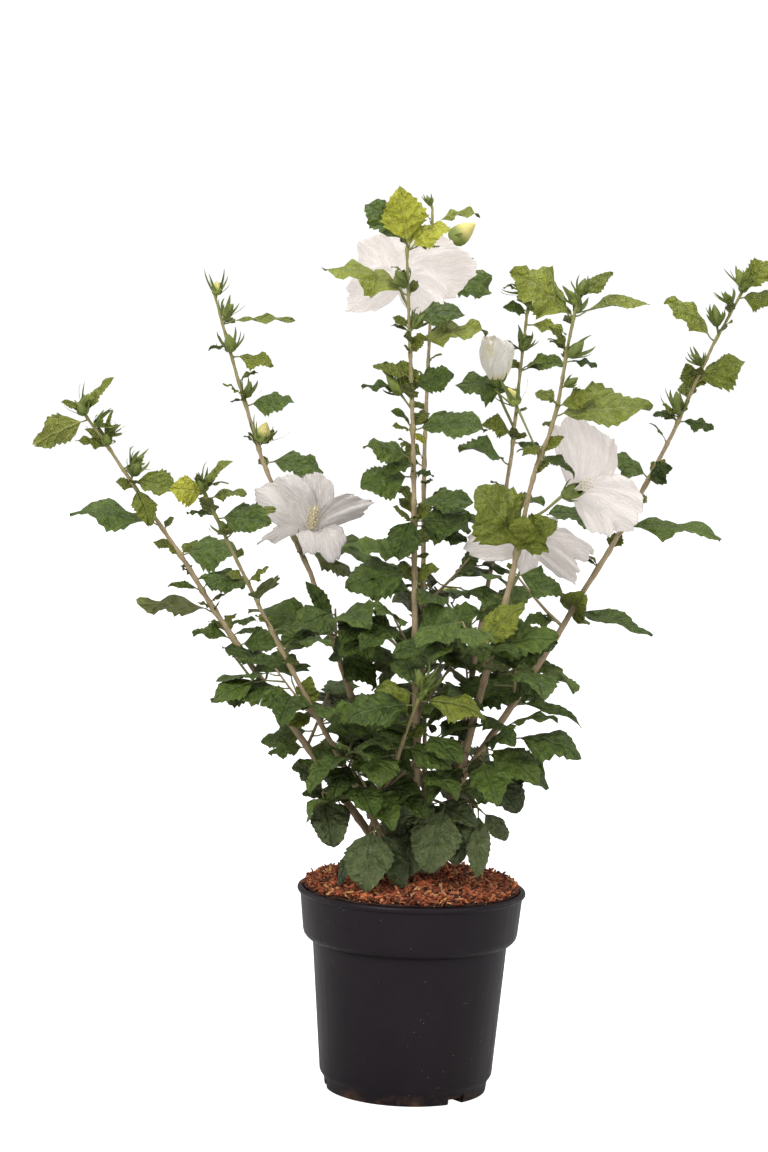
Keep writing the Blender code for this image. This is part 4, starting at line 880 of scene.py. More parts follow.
def make_blooms(plant, stems):
    """The petals, stamen columns, calyces and stalks of every bloom."""
    petals_heap = Heap()
    cream = Heap()
    for number, (_, stem_name, drop, calyx, facing, glow, petals) in enumerate(BLOOMS):
        chance = random.Random(900 + number)
        stem = stems[stem_name]
        calyx = np.array(calyx)
        axis = unit(np.array(facing, float))
        node = stem.at(stem.place_below_tip(drop))
        bend = node + (calyx - node) * 0.6 + np.array((0, 0, -0.002))
        stalk = [node, node + (bend - node) * 0.5, bend, calyx, calyx + axis * 0.004]
        tube(plant.green, stalk, (0.0016, 0.0015, 0.0015, 0.0017, 0.0024), 7, 0.35)
        across = unit(np.cross(axis, UP + FRONT * 0.31))
        other = np.cross(axis, across)
        turns = np.arange(CALYX_SIDES) * (2 * math.pi / CALYX_SIDES)
        rings = []
        flat = []
        for height, wide in CALYX_RINGS:
            point_up = height * (1 + 0.38 * np.cos(5 * turns) * (height > 0.6) * height)
            out = np.outer(np.cos(turns), across) + np.outer(np.sin(turns), other)
            rings.append(calyx + np.outer(point_up * CALYX_LENGTH, axis) + out * (CALYX_RADIUS * wide))
            flat.append(np.stack((turns / (2 * math.pi), np.full(CALYX_SIDES, height * 0.25)), axis=1))
        ringed_cup(plant.buds, rings, CALYX_SIDES, 0.5, flat)
        swell = CALYX_RADIUS * 0.8
        ring_of_bracts(plant, calyx, axis, across, other, swell, BRACTS, BLOOM_BRACT_LENGTH, chance)
        throat = calyx + axis * (CALYX_LENGTH * 0.55)
        for right, back, up, half, turn in petals:
            tip = throat + np.array((right, back, up)) / 1000
            points, flat = petal_rows(throat, axis, tip, half / 1000, turn, chance)
            shape = points.shape
            faces = grid_faces(shape[0], shape[1])
            petals_heap.add(points.reshape(-1, 3), faces, flat.reshape(-1, 2), glow)
            plant.settle_solid(points.reshape(-1, 3), faces)
        if not petals:
            furled_petals(petals_heap, throat, axis, OPENING_LENGTH, OPENING_RADIUS)
            continue
        column = [throat + axis * (COLUMN_LENGTH * share) for share in (0, 0.3, 0.6, 0.85, 1.0)]
        radii = [COLUMN_RADIUS * share for share in (0.7, 0.62, 0.55, 0.45, 0.2)]
        tube(cream, column, radii, 10, 0.3)
        for anther in range(ANTHERS):
            share = 0.28 + 0.70 * anther / ANTHERS
            turn = anther * GOLDEN_TURN
            out = across * math.cos(turn) + other * math.sin(turn)
            start = throat + axis * (COLUMN_LENGTH * share)
            end = start + out * (COLUMN_RADIUS * chance.uniform(1.1, 1.9)) + axis * 0.0012
            tube(cream, [start, end], (0.00025, 0.00020), 3, 0.2)
            tube(cream, [end - axis * 0.0007, end + out * 0.0006, end + axis * 0.0010],
                 (0.0004, 0.0010, 0.0004), 5, chance.uniform(0.3, 1.0))
    return petals_heap, cream


def dress_stems(plant, stems):
    """Bark over every stem from foot to tip: swollen at the nodes, furrowed low down, green above."""
    chance = np.random.default_rng(41)
    for stem in stems.values():
        start = -0.02 if not stem.parent else 0.0
        rings = max(int(stem.length / 0.0035), 12)
        places = np.linspace(start, 1.0, rings)
        path = np.array([stem.at(place) for place in places])
        drift = np.zeros((rings, 3))
        for _ in range(3):
            phase = chance.uniform(0, 6.28, 2)
            count = chance.uniform(5, 13)
            drift[:, 0] += np.sin(places * count + phase[0]) * 0.0005
            drift[:, 1] += np.sin(places * count + phase[1]) * 0.0005
        path = path + drift * np.clip(places * 6, 0, 1)[:, None]
        radii = np.array([stem.radius_at(place) for place in places])
        swell = np.zeros(rings)
        for node in stem.nodes + [stem.bare * share for share in (0.25, 0.42, 0.58, 0.75, 0.92)]:
            swell += np.exp(-(((places - node) * stem.length / 0.0032) ** 2))
        radii = radii * 0.90 * (1 + 0.26 * swell * np.clip(0.4 + places, 0, 1))
        radii[-1] *= 0.4
        ripe = np.clip((places - 0.62) / 0.38, 0, 1) ** 1.5
        ripe = ripe + 0.25 * swell * np.clip(places * 1.5 - 0.3, 0, 1)
        tube(plant.bark, path, radii, 12, np.clip(ripe, 0, 1))
    points = np.concatenate(plant.bark.points)
    furrow = np.random.default_rng(5).normal(0, 0.00013, (len(points), 3))
    plant.bark.points = [points + furrow]


def stool_bark(plant):
    """The flared and ridged root crown."""
    sides = 72
    rings = 22
    chance = np.random.default_rng(17)
    turns = np.arange(sides) * (2 * math.pi / sides)
    points = []
    flat = []
    wobble = chance.uniform(0, 6.28, 5)
    for ring in range(rings):
        level = ring / (rings - 1)
        flare = (1 - level) ** 2.2
        ridge = 1 + 0.16 * flare * np.cos(STOOL_RIDGES * turns)
        ridge = ridge + 0.03 * np.sin(turns * 9 + wobble[0] + level * 2)
        ridge = ridge + 0.015 * np.sin(turns * 23 + wobble[1])
        wide = STOOL_WAIST[0] + (STOOL_FOOT[0] - STOOL_WAIST[0]) * flare
        deep = STOOL_WAIST[1] + (STOOL_FOOT[1] - STOOL_WAIST[1]) * flare
        shut = 1.0 if level < 0.8 else math.cos((level - 0.8) / 0.2 * math.pi / 2 * 0.98)
        height = SOIL_TOP - 0.002 + STOOL_HEIGHT * level
        ring_points = np.stack((np.cos(turns) * wide * ridge * shut, np.sin(turns) * deep * ridge * shut,
                                np.full(sides, height)), axis=1)
        points.append(ring_points + chance.normal(0, 0.0002, (sides, 3)))
        flat.append(np.stack((turns / (2 * math.pi), np.full(sides, height)), axis=1))
    faces = []
    for ring in range(rings - 1):
        for side in range(sides):
            following = (side + 1) % sides
            low = ring * sides
            faces.append((low + side, low + following, low + sides + following, low + sides + side))
    faces.append(tuple(range(sides))[::-1])
    faces.append(tuple(range((rings - 1) * sides, rings * sides)))
    plant.bark.add(np.concatenate(points), faces, np.concatenate(flat), 0.0)


def mound(radius):
    """How high the mulch is heaped at a distance from the middle."""
    share = np.clip(radius / MULCH_RADIUS, 0, 1)
    stool_heap = 0.006 * np.exp(-((np.asarray(radius) / 0.036) ** 2))
    return MULCH_MIDDLE - (MULCH_MIDDLE - MULCH_EDGE) * share ** 2.6 + stool_heap


def scatter(chance, number, inside):
    """Even places over a round bed, and how far each is from its middle."""
    radius = np.sqrt(chance.uniform(0, 1, number)) * inside
    turn = chance.uniform(0, 2 * math.pi, number)
    return np.stack((radius * np.cos(turn), radius * np.sin(turn)), axis=1), radius


def lay_mulch():
    """Chips, fibres and crumbs of bark heaped on the compost, up to the rim."""
    chance = np.random.default_rng(23)
    chips = Heap()
    corners = np.array([(x, y, z) for x in (-1, 1) for y in (-1, 1) for z in (-1, 1)], float)
    box = ((0, 1, 3, 2), (4, 6, 7, 5), (0, 4, 5, 1), (2, 3, 7, 6), (0, 2, 6, 4), (1, 5, 7, 3))
    for number, longest, widest, thickest, lift in (
        (CHIPS, 0.0084, 0.0024, 0.0010, 0.0056), (CRUMBS, 0.0017, 0.0012, 0.0009, 0.0050),
    ):
        flat_place, radius = scatter(chance, number, MULCH_RADIUS - longest * 0.55)
        for index in range(number):
            size = np.array((longest, widest, thickest)) * chance.uniform(0.35, 1.0, 3)
            turn = chance.uniform(0, 2 * math.pi)
            tip_up = chance.normal(0, 0.42)
            roll = chance.normal(0, 0.6)
            spin = Matrix.Rotation(turn, 3, "Z") @ Matrix.Rotation(tip_up, 3, "Y")
            spin = spin @ Matrix.Rotation(roll, 3, "X")
            shape = corners * size * (1 + chance.uniform(-0.35, 0.35, (8, 3)))
            shape[:, :2] *= chance.uniform(0.4, 1.0)
            height = mound(radius[index]) + chance.uniform(0, lift)
            place = np.array((flat_place[index][0], flat_place[index][1], height))
            chips.add(place + shape @ np.array(spin).T, box, corners[:, :2], chance.uniform(0, 1))
    fibres = Heap()
    flat_place, radius = scatter(chance, FIBRES, MULCH_RADIUS - 0.004)
    for index in range(FIBRES):
        length = chance.uniform(0.004, 0.014)
        heading = chance.uniform(0, 2 * math.pi)
        along = np.array((math.cos(heading), math.sin(heading), chance.normal(0, 0.35)))
        middle = np.array((*flat_place[index], mound(radius[index]) + chance.uniform(0.0015, 0.0050)))
        sag = np.array((-along[1], along[0], chance.normal(0, 0.4))) * (length * 0.12)
        path = np.array([middle - along * length / 2, middle + sag, middle + along * length / 2])
        if np.linalg.norm(path[:, :2], axis=1).max() < MULCH_RADIUS:
            thick = chance.uniform(0.0002, 0.0006)
            tube(fibres, path, (thick * 0.6, thick, thick * 0.5), 3, chance.uniform(0.2, 1))
    return chips, fibres


def heap_mound(finish):
    """The smooth body of the mulch that the chips lie on."""
    rings = 24
    sides = 96
    chance = np.random.default_rng(8)
    turns = np.arange(sides) * (2 * math.pi / sides)
    points = [(0.0, 0.0, mound(0.0))]
    for ring in range(1, rings + 1):
        radius = MULCH_RADIUS * ring / rings
        heights = mound(radius) + chance.normal(0, 0.0004, sides)
        points += list(zip(np.cos(turns) * radius, np.sin(turns) * radius, heights))
    faces = [(0, 1 + side, 1 + (side + 1) % sides) for side in range(sides)]
    for ring in range(rings - 1):
        low = 1 + ring * sides
        for side in range(sides):
            following = (side + 1) % sides
            faces.append((low + side, low + sides + side, low + sides + following, low + following))
    heap = Heap()
    heap.add(points, faces, np.array(points)[:, :2], 0.0)
    heap.piece("mulch_bed", finish, "mulch", ())


def clear_selection():
    for thing in list(bpy.context.selected_objects):
        thing.select_set(False)


def turn_pot(finish):
    """The pot, drawn up ring by ring from its underside, over the rim and down its inner wall."""
    collar_foot = POT_HEIGHT - COLLAR_DEPTH
    rings = (
        (FOOT_RADIUS - 0.0020, 0.0), (FOOT_RADIUS - 0.0005, 0.0006), (FOOT_RADIUS, 0.0020),
        (FOOT_RADIUS + 0.0012, 0.0105), (FOOT_RADIUS + 0.0022, 0.0125), (HEEL_RADIUS - 0.0010, 0.0160),
        (HEEL_RADIUS, 0.0185), (BODY_RADIUS - 0.0005, collar_foot - 0.0060),
        (BODY_RADIUS - 0.0004, collar_foot - 0.0046),
        (BODY_RADIUS + 0.0004, collar_foot - 0.0042), (BODY_RADIUS + 0.0040, collar_foot - 0.0028),
        (COLLAR_FOOT_RADIUS - 0.0030, collar_foot - 0.0004),
        (COLLAR_FOOT_RADIUS - 0.0010, collar_foot + 0.0024),
        (COLLAR_FOOT_RADIUS, collar_foot + 0.0060), (COLLAR_RADIUS, POT_HEIGHT - 0.0086),
        (COLLAR_RADIUS + 0.0004, POT_HEIGHT - 0.0066), (RIM_RADIUS - 0.0010, POT_HEIGHT - 0.0056),
        (RIM_RADIUS - 0.0001, POT_HEIGHT - 0.0042), (RIM_RADIUS, POT_HEIGHT - 0.0028),
        (RIM_RADIUS - 0.0006, POT_HEIGHT - 0.0012), (RIM_RADIUS - 0.0020, POT_HEIGHT - 0.0002),
        (COLLAR_RADIUS - 0.0004, POT_HEIGHT), (COLLAR_RADIUS - 0.0020, POT_HEIGHT - 0.0005),
        (COLLAR_RADIUS - POT_WALL, POT_HEIGHT - 0.0024),
        (COLLAR_FOOT_RADIUS - POT_WALL, collar_foot + 0.0040),
        (BODY_RADIUS - POT_WALL, collar_foot - 0.0060),
        (HEEL_RADIUS - POT_WALL, 0.0185), (FOOT_RADIUS - POT_WALL, FLOOR_THICKNESS),
    )
    clear_selection()
    bpy.ops.mesh.primitive_circle_add(vertices=POT_SIDES, radius=rings[0][0], location=(0, 0, rings[0][1]))
    pot = bpy.context.object
    pot.name = "container_pot"
    bpy.ops.object.transform_apply(location=True)
    bpy.ops.object.mode_set(mode="EDIT")
    bpy.ops.mesh.select_mode(type="EDGE")
    bpy.ops.mesh.select_all(action="SELECT")
    for before, after in zip(rings[:-1], rings[1:]):
        bpy.ops.mesh.extrude_edges_move(TRANSFORM_OT_translate={"value": (0, 0, after[1] - before[1])})
        grow = after[0] / before[0]
        bpy.ops.transform.resize(value=(grow, grow, 1), center_override=(0, 0, after[1]))
    bpy.ops.mesh.edge_face_add()
    bpy.ops.mesh.select_all(action="DESELECT")
    bpy.ops.mesh.select_non_manifold(
        extend=False, use_wire=False, use_multi_face=False, use_non_contiguous=False,
    )
    bpy.ops.mesh.edge_face_add()
    bpy.ops.mesh.select_all(action="SELECT")
    bpy.ops.mesh.normals_make_consistent(inside=False)
    bpy.ops.object.mode_set(mode="OBJECT")
    for bearing in NOTCH_BEARINGS:
        clear_selection()
        bpy.ops.mesh.primitive_cube_add(size=1.0)
        notch = bpy.context.object
        turn = Matrix.Rotation(math.radians(bearing), 4, "Z")
        size = Matrix.Diagonal((NOTCH_DEPTH * 2, NOTCH_WIDTH, NOTCH_HEIGHT * 2, 1.0))
        notch.data.transform(turn @ Matrix.Translation((HEEL_RADIUS, 0.0, 0.0)) @ size)
        cut = pot.modifiers.new("notch", "BOOLEAN")
        cut.object = notch
        cut.operation = "DIFFERENCE"
        cut.solver = "EXACT"
        clear_selection()
        bpy.context.view_layer.objects.active = pot
        pot.select_set(True)
        bpy.ops.object.modifier_apply(modifier=cut.name)
        bpy.data.objects.remove(notch)
    bpy.ops.object.shade_smooth_by_angle(angle=math.radians(38))
    pot.data.materials.clear()
    pot.data.materials.append(finish)
    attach(pot, "root")
    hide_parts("pot")


class Wiring:
    """Lays out the nodes of one material or group."""

    def __init__(self, tree):
        self.tree = tree

    def add(self, kind, inputs=None, **settings):
        made = self.tree.nodes.new(kind)
        for name, value in settings.items():
            setattr(made, name, value)
        for name, value in (inputs or {}).items():
            self.feed(made.inputs[name], value)
        return made

    def feed(self, socket, value):
        if isinstance(value, bpy.types.NodeSocket):
            self.tree.links.new(value, socket)
        else:
            socket.default_value = value

    def math(self, operation, *values):
        made = self.tree.nodes.new("ShaderNodeMath")
        made.operation = operation
        for index, value in enumerate(values):
            self.feed(made.inputs[index], value)
        return made.outputs[0]

    def blend(self, factor, first, second):
        made = self.tree.nodes.new("ShaderNodeMix")
        made.data_type = "RGBA"
        self.feed(made.inputs[0], factor)
        self.feed(made.inputs[6], first)
        self.feed(made.inputs[7], second)
        return made.outputs[2]

    def span(self, value, low, high, out_low=0.0, out_high=1.0):
        made = self.add("ShaderNodeMapRange", {"Value": value, "From Min": low, "From Max": high,
                                               "To Min": out_low, "To Max": out_high})
        return made.outputs["Result"]

    def noise(self, place, scale, detail=3.0, roughness=0.55):
        made = self.add("ShaderNodeTexNoise", {"Vector": place, "Scale": scale, "Detail": detail,
                                               "Roughness": roughness})
        return made.outputs[0]

    def group(self, tree, **inputs):
        made = self.tree.nodes.new("ShaderNodeGroup")
        made.node_tree = tree
        for name, value in inputs.items():
            self.feed(made.inputs[name.replace("_", " ")], value)
        return made.outputs


def new_group(name, inputs, outputs):
    tree = bpy.data.node_groups.new(name, "ShaderNodeTree")
    for label, kind, value in inputs:
        socket = tree.interface.new_socket(label, in_out="INPUT", socket_type=kind)
        if value is not None:
            socket.default_value = value
    for label in outputs:
        tree.interface.new_socket(label, in_out="OUTPUT", socket_type="NodeSocketFloat")
    wires = Wiring(tree)
    return tree, wires, wires.add("NodeGroupInput").outputs, wires.add("NodeGroupOutput").inputs


def make_vein_group():
    """Midrib, two side ribs from the base, laterals and a fine net, on a leaf's flat places."""
    tree, wires, given, result = new_group(
        "leaf_veins",
        (("Flat", "NodeSocketVector", None), ("Width", "NodeSocketFloat", 0.010)),
        ("Veins", "Net", "Relief"),
    )
    parts = wires.add("ShaderNodeSeparateXYZ", {"Vector": given["Flat"]}).outputs
    along = parts["X"]
    out = wires.math("ABSOLUTE", wires.math("SUBTRACT", parts["Y"], 0.5))
    width = given["Width"]
    taper = wires.math("MULTIPLY", width, wires.span(along, 0.0, 1.0, 1.4, 0.45))
    midrib = wires.span(wires.math("DIVIDE", out, taper), 0.6, 1.6, 1.0, 0.0)
    lean = math.radians(31)
    ray = wires.math("SUBTRACT", wires.math("MULTIPLY", along, math.sin(lean)),
                     wires.math("MULTIPLY", out, math.cos(lean)))
    side_rib = wires.span(wires.math("DIVIDE", wires.math("ABSOLUTE", ray), width), 0.4, 1.3, 0.9, 0.0)
    side_rib = wires.math("MULTIPLY", side_rib, wires.span(along, 0.45, 0.60, 1.0, 0.0))
    waver = wires.math("MULTIPLY", wires.noise(given["Flat"], 7.0, 2.0), 0.06)
    start = wires.math("ADD", wires.math("SUBTRACT", along, wires.math("MULTIPLY", out, 0.95)), waver)
    beat = wires.math("FRACT", wires.math("MULTIPLY", start, 5.0))
    ripple = wires.math("ABSOLUTE", wires.math("SUBTRACT", beat, 0.5))
    lateral = wires.span(ripple, 0.03, 0.10, 0.75, 0.0)
    lateral = wires.math("MULTIPLY", lateral, wires.span(start, 0.08, 0.16, 0.0, 1.0))
    ribs = wires.math("MAXIMUM", wires.math("MAXIMUM", midrib, side_rib), lateral)
    wires.feed(result["Veins"], ribs)
    dome = wires.math("POWER", wires.math("MULTIPLY", ripple, 2.0), 0.55)
    quilt = wires.span(wires.noise(given["Flat"], 8.0, 2.0), 0.36, 0.64)
    dome = wires.math("ADD", wires.math("MULTIPLY", dome, 0.55), wires.math("MULTIPLY", quilt, 0.75))
    wires.feed(result["Relief"], wires.math("MULTIPLY", dome, wires.span(out, 0.0, 0.05)))
    cells = {"Vector": given["Flat"], "Scale": 26.0}
    net = wires.add("ShaderNodeTexVoronoi", cells, feature="DISTANCE_TO_EDGE")
    wires.feed(result["Net"], wires.span(net.outputs["Distance"], 0.0, 0.12, 1.0, 0.0))
    return tree


def make_speckle_group():
    """Small scattered spots, by their spacing, their share and their size."""
    tree, wires, given, result = new_group(
        "speckles",
        (("Place", "NodeSocketVector", None), ("Scale", "NodeSocketFloat", 100.0),
         ("Share", "NodeSocketFloat", 0.2), ("Size", "NodeSocketFloat", 0.2)),
        ("Mask",),
    )
    cells = wires.add("ShaderNodeTexVoronoi", {"Vector": given["Place"], "Scale": given["Scale"]})
    lot = wires.add("ShaderNodeSeparateColor", {"Color": cells.outputs["Color"]}).outputs[0]
    chosen = wires.math("LESS_THAN", lot, given["Share"])
    spot = wires.math("LESS_THAN", cells.outputs["Distance"], given["Size"])
    wires.feed(result["Mask"], wires.math("MULTIPLY", chosen, spot))
    return tree


def make_mottle_group():
    """A soft uneven tone, coarse and fine together."""
    tree, wires, given, result = new_group(
        "mottle",
        (("Place", "NodeSocketVector", None), ("Scale", "NodeSocketFloat", 60.0)),
        ("Tone",),
    )
    coarse = wires.noise(given["Place"], given["Scale"], 2.0)
    fine = wires.noise(given["Place"], wires.math("MULTIPLY", given["Scale"], 6.0), 3.0)
    tone = wires.math("ADD", wires.math("MULTIPLY", coarse, 0.65), wires.math("MULTIPLY", fine, 0.35))
    wires.feed(result["Tone"], wires.span(tone, 0.32, 0.68))
    return tree


def new_finish(name, roughness):
    made = bpy.data.materials.new(name)
    made.use_nodes = True
    shader = made.node_tree.nodes["Principled BSDF"]
    shader.inputs["Roughness"].default_value = roughness
    wires = Wiring(made.node_tree)
    place = wires.add("ShaderNodeTexCoord").outputs["Object"]
    return made, wires, shader, place


def raise_from(wires, shader, height, distance):
    bump = wires.add("ShaderNodeBump", {"Height": height, "Distance": distance, "Strength": 1.0})
    wires.feed(shader.inputs["Normal"], bump.outputs["Normal"])


def colour(red, green, blue):
    return (red, green, blue, 1.0)


def leaf_finish(kind, groups):
    roughness, vein_strength = LEAF_SURFACES[kind]
    bright, deep, vein, under = (colour(*tint) for tint in LEAF_COLOURS[kind])
    made, wires, shader, place = new_finish(kind + "_leaf", roughness)
    shader.inputs["Specular IOR Level"].default_value = 0.34
    flat = wires.add("ShaderNodeUVMap", uv_map="flat").outputs["UV"]
    veins = wires.group(groups["veins"], Flat=flat, Width=0.011)
    tone = wires.group(groups["mottle"], Place=place, Scale=115.0)["Tone"]
    tone = wires.span(tone, 0.22, 0.78)
    shade = wires.add("ShaderNodeAttribute", attribute_name="shade").outputs["Fac"]
    depth = wires.math("ADD", wires.math("MULTIPLY", tone, 0.30), wires.math("MULTIPLY", shade, 0.52))
    # Painted shade: the hollows between the domes of the leaf's relief are painted darker
    hollow_shade = wires.math("SUBTRACT", 0.78, veins["Relief"])
    depth = wires.math("ADD", depth, wires.math("MULTIPLY", hollow_shade, 0.40))
    upper = wires.blend(wires.span(depth, 0.0, 1.0), bright, deep)
    upper = wires.blend(wires.math("MULTIPLY", veins["Veins"], vein_strength), upper, vein)
    upper = wires.blend(wires.math("MULTIPLY", veins["Net"], 0.05), upper, vein)
    lower = wires.blend(wires.math("MULTIPLY", tone, 0.28), under, deep)
    lower = wires.blend(wires.math("MULTIPLY", veins["Veins"], 0.45), lower, vein)
    back = wires.add("ShaderNodeNewGeometry").outputs["Backfacing"]
    wires.feed(shader.inputs["Base Color"], wires.blend(back, upper, lower))
    wires.feed(shader.inputs["Roughness"], wires.span(tone, 0.0, 1.0, roughness - 0.06, roughness + 0.10))
    height = wires.math("SUBTRACT", veins["Relief"], wires.math("MULTIPLY", tone, 0.22))
    height = wires.math("SUBTRACT", height, wires.math("MULTIPLY", veins["Net"], 0.08))
    raise_from(wires, shader, height, 0.0034)
    return made


def petal_finish(groups):
    made, wires, shader, place = new_finish("white_petal", 0.62)
    flat = wires.add("ShaderNodeUVMap", uv_map="flat").outputs["UV"]
    parts = wires.add("ShaderNodeSeparateXYZ", {"Vector": flat}).outputs
    spread = wires.math("MULTIPLY", parts["X"], 22.0)
    sway = wires.math("MULTIPLY", wires.noise(flat, 5.0, 3.0), 6.0)
    beat = wires.math("FRACT", wires.math("ADD", spread, sway))
    lines = wires.math("ABSOLUTE", wires.math("SUBTRACT", beat, 0.5))
    veins = wires.span(lines, 0.0, 0.16, 1.0, 0.0)
    fanned = wires.add("ShaderNodeMapping", {"Vector": flat, "Scale": (9.0, 2.2, 1.0)}).outputs["Vector"]
    crease = wires.span(wires.noise(fanned, 1.6, 5.0, 0.62), 0.34, 0.66)
    tone = wires.group(groups["mottle"], Place=place, Scale=45.0)["Tone"]
    pale = wires.math("MULTIPLY", tone, 0.35)
    base = wires.blend(pale, colour(0.86, 0.80, 0.75), colour(0.76, 0.69, 0.635))
    # Painted shade: the petal's creases are painted greyer and darker, as the shade in its folds
    base = wires.blend(wires.math("MULTIPLY", crease, 0.42), base, colour(0.62, 0.56, 0.53))
    base = wires.blend(wires.math("MULTIPLY", veins, 0.16), base, colour(0.52, 0.47, 0.47))
    throat = wires.span(parts["Y"], 0.04, 0.22, 0.55, 0.0)
    base = wires.blend(throat, base, colour(0.70, 0.66, 0.42))
    shade = wires.add("ShaderNodeAttribute", attribute_name="shade").outputs["Fac"]
    patches = wires.span(wires.noise(place, 34.0), 0.44, 0.68)
    cream = wires.blend(patches, colour(0.88, 0.84, 0.74), colour(0.80, 0.70, 0.32))
    base = wires.blend(wires.span(shade, 0.90, 0.98), base, cream)
    # Painted light: the base colour is darkened by a third and the petals glow in their own colour, standing in
    # for light that comes through them; the glow is full at a shade of 0.5, a quarter at 0, and half for the
    # furled bloom
    wires.feed(shader.inputs["Base Color"], wires.blend(0.32, base, colour(0.0, 0.0, 0.0)))
    dim = wires.math("ADD", wires.span(shade, 0.0, 0.5, 0.75, 0.0), wires.span(shade, 0.90, 0.98, 0.0, 0.50))
    wires.feed(shader.inputs["Emission Color"], wires.blend(dim, base, colour(0.0, 0.0, 0.0)))
    shader.inputs["Emission Strength"].default_value = 0.65
    crinkle = wires.noise(place, 240.0, 4.0)
    height = wires.math("ADD", wires.math("MULTIPLY", veins, 0.35), wires.math("MULTIPLY", crinkle, 0.5))
    raise_from(wires, shader, wires.math("ADD", height, wires.math("MULTIPLY", crease, -1.0)), 0.0020)
    return made


def bark_finish(groups):
    made, wires, shader, place = new_finish("grey_tan_bark", 0.78)
    flat = wires.add("ShaderNodeUVMap", uv_map="flat").outputs["UV"]
    ripe = wires.add("ShaderNodeAttribute", attribute_name="shade").outputs["Fac"]
    grain = {"Vector": flat, "Scale": (18.0, 60.0, 1.0)}
    stretched = wires.add("ShaderNodeMapping", grain).outputs["Vector"]
    streak = wires.noise(stretched, 1.0, 4.0, 0.6)
    tone = wires.group(groups["mottle"], Place=place, Scale=120.0)["Tone"]
    dark = wires.span(streak, 0.35, 0.65)
    wood = wires.blend(dark, colour(0.48, 0.365, 0.215), colour(0.27, 0.185, 0.105))
    wood = wires.blend(wires.math("MULTIPLY", tone, 0.35), wood, colour(0.52, 0.43, 0.28))
    scars = wires.group(groups["speckles"], Place=place, Scale=420.0, Share=0.14, Size=0.30)["Mask"]
    wood = wires.blend(wires.math("MULTIPLY", scars, 0.55), wood, colour(0.10, 0.065, 0.045))
    height = wires.add("ShaderNodeSeparateXYZ", {"Vector": place}).outputs["Z"]
    # Browner and darker towards the stems' feet, from 0.46 m down to 0.23 m
    darker_low = wires.span(height, 0.23, 0.46, 0.40, 0.0)
    wood = wires.blend(darker_low, wood, colour(0.180, 0.100, 0.055))
    # Painted shade: the stool and the stems' feet just above the mulch are darkened nearly to black, as in the
    # shade under the crown
    wood = wires.blend(wires.span(height, 0.212, 0.244, 0.80, 0.0), wood, colour(0.030, 0.022, 0.014))
    soft = wires.blend(tone, colour(0.24, 0.26, 0.065), colour(0.33, 0.29, 0.12))
    wires.feed(shader.inputs["Base Color"], wires.blend(ripe, wood, soft))
    raise_from(wires, shader, wires.math("ADD", streak, wires.math("MULTIPLY", scars, 0.5)), 0.0005)
    return made


def green_finish(name, pale, deep, roughness, groups, petal_tip=None):
    made, wires, shader, place = new_finish(name, roughness)
    tone = wires.group(groups["mottle"], Place=place, Scale=220.0)["Tone"]
    shade = wires.add("ShaderNodeAttribute", attribute_name="shade").outputs["Fac"]
    depth = wires.math("ADD", wires.math("MULTIPLY", tone, 0.4), wires.math("MULTIPLY", shade, 0.6))
    base = wires.blend(depth, deep, pale)
    if petal_tip:
        flat = wires.add("ShaderNodeUVMap", uv_map="flat").outputs["UV"]
        height = wires.add("ShaderNodeSeparateXYZ", {"Vector": flat}).outputs["Y"]
        opened = wires.math("MULTIPLY", wires.span(shade, 0.92, 0.98), wires.span(height, 0.35, 0.62))
        base = wires.blend(opened, base, petal_tip)
    wires.feed(shader.inputs["Base Color"], base)
    raise_from(wires, shader, wires.noise(place, 900.0, 3.0), 0.0004)
    return made


def mulch_finish(name, lift):
    made, wires, shader, place = new_finish(name, 0.85)
    shade = wires.add("ShaderNodeAttribute", attribute_name="shade").outputs["Fac"]
    ramp = wires.add("ShaderNodeValToRGB", {"Fac": shade})
    stops = ((0.0, colour(0.030, 0.008, 0.004)), (0.24, colour(0.15, 0.034, 0.013)),
             (0.52, colour(0.42, 0.094, 0.030)), (0.80, colour(0.72, 0.195, 0.066)),
             (0.94, colour(0.84, 0.41, 0.18)), (0.985, colour(0.74, 0.40, 0.13)))
    ramp.color_ramp.elements[0].color = stops[0][1]
    ramp.color_ramp.elements[1].position = stops[-1][0]
    ramp.color_ramp.elements[1].color = stops[-1][1]
    for position, tint in stops[1:-1]:
        ramp.color_ramp.elements.new(position).color = tint
    grain = wires.noise(place, 700.0, 4.0)
    shadow = wires.span(grain, 0.35, 0.75, 0.35, 0.0)
    dark = wires.blend(shadow, ramp.outputs["Color"], colour(0.05, 0.022, 0.014))
    wires.feed(shader.inputs["Base Color"], dark)
    raise_from(wires, shader, grain, lift)
    return made


def compost_finish(groups):
    made, wires, shader, place = new_finish("dark_compost", 0.95)
    tone = wires.group(groups["mottle"], Place=place, Scale=160.0)["Tone"]
    earth = wires.blend(tone, colour(0.020, 0.010, 0.007), colour(0.11, 0.045, 0.025))
    wires.feed(shader.inputs["Base Color"], earth)
    raise_from(wires, shader, tone, 0.003)
    return made


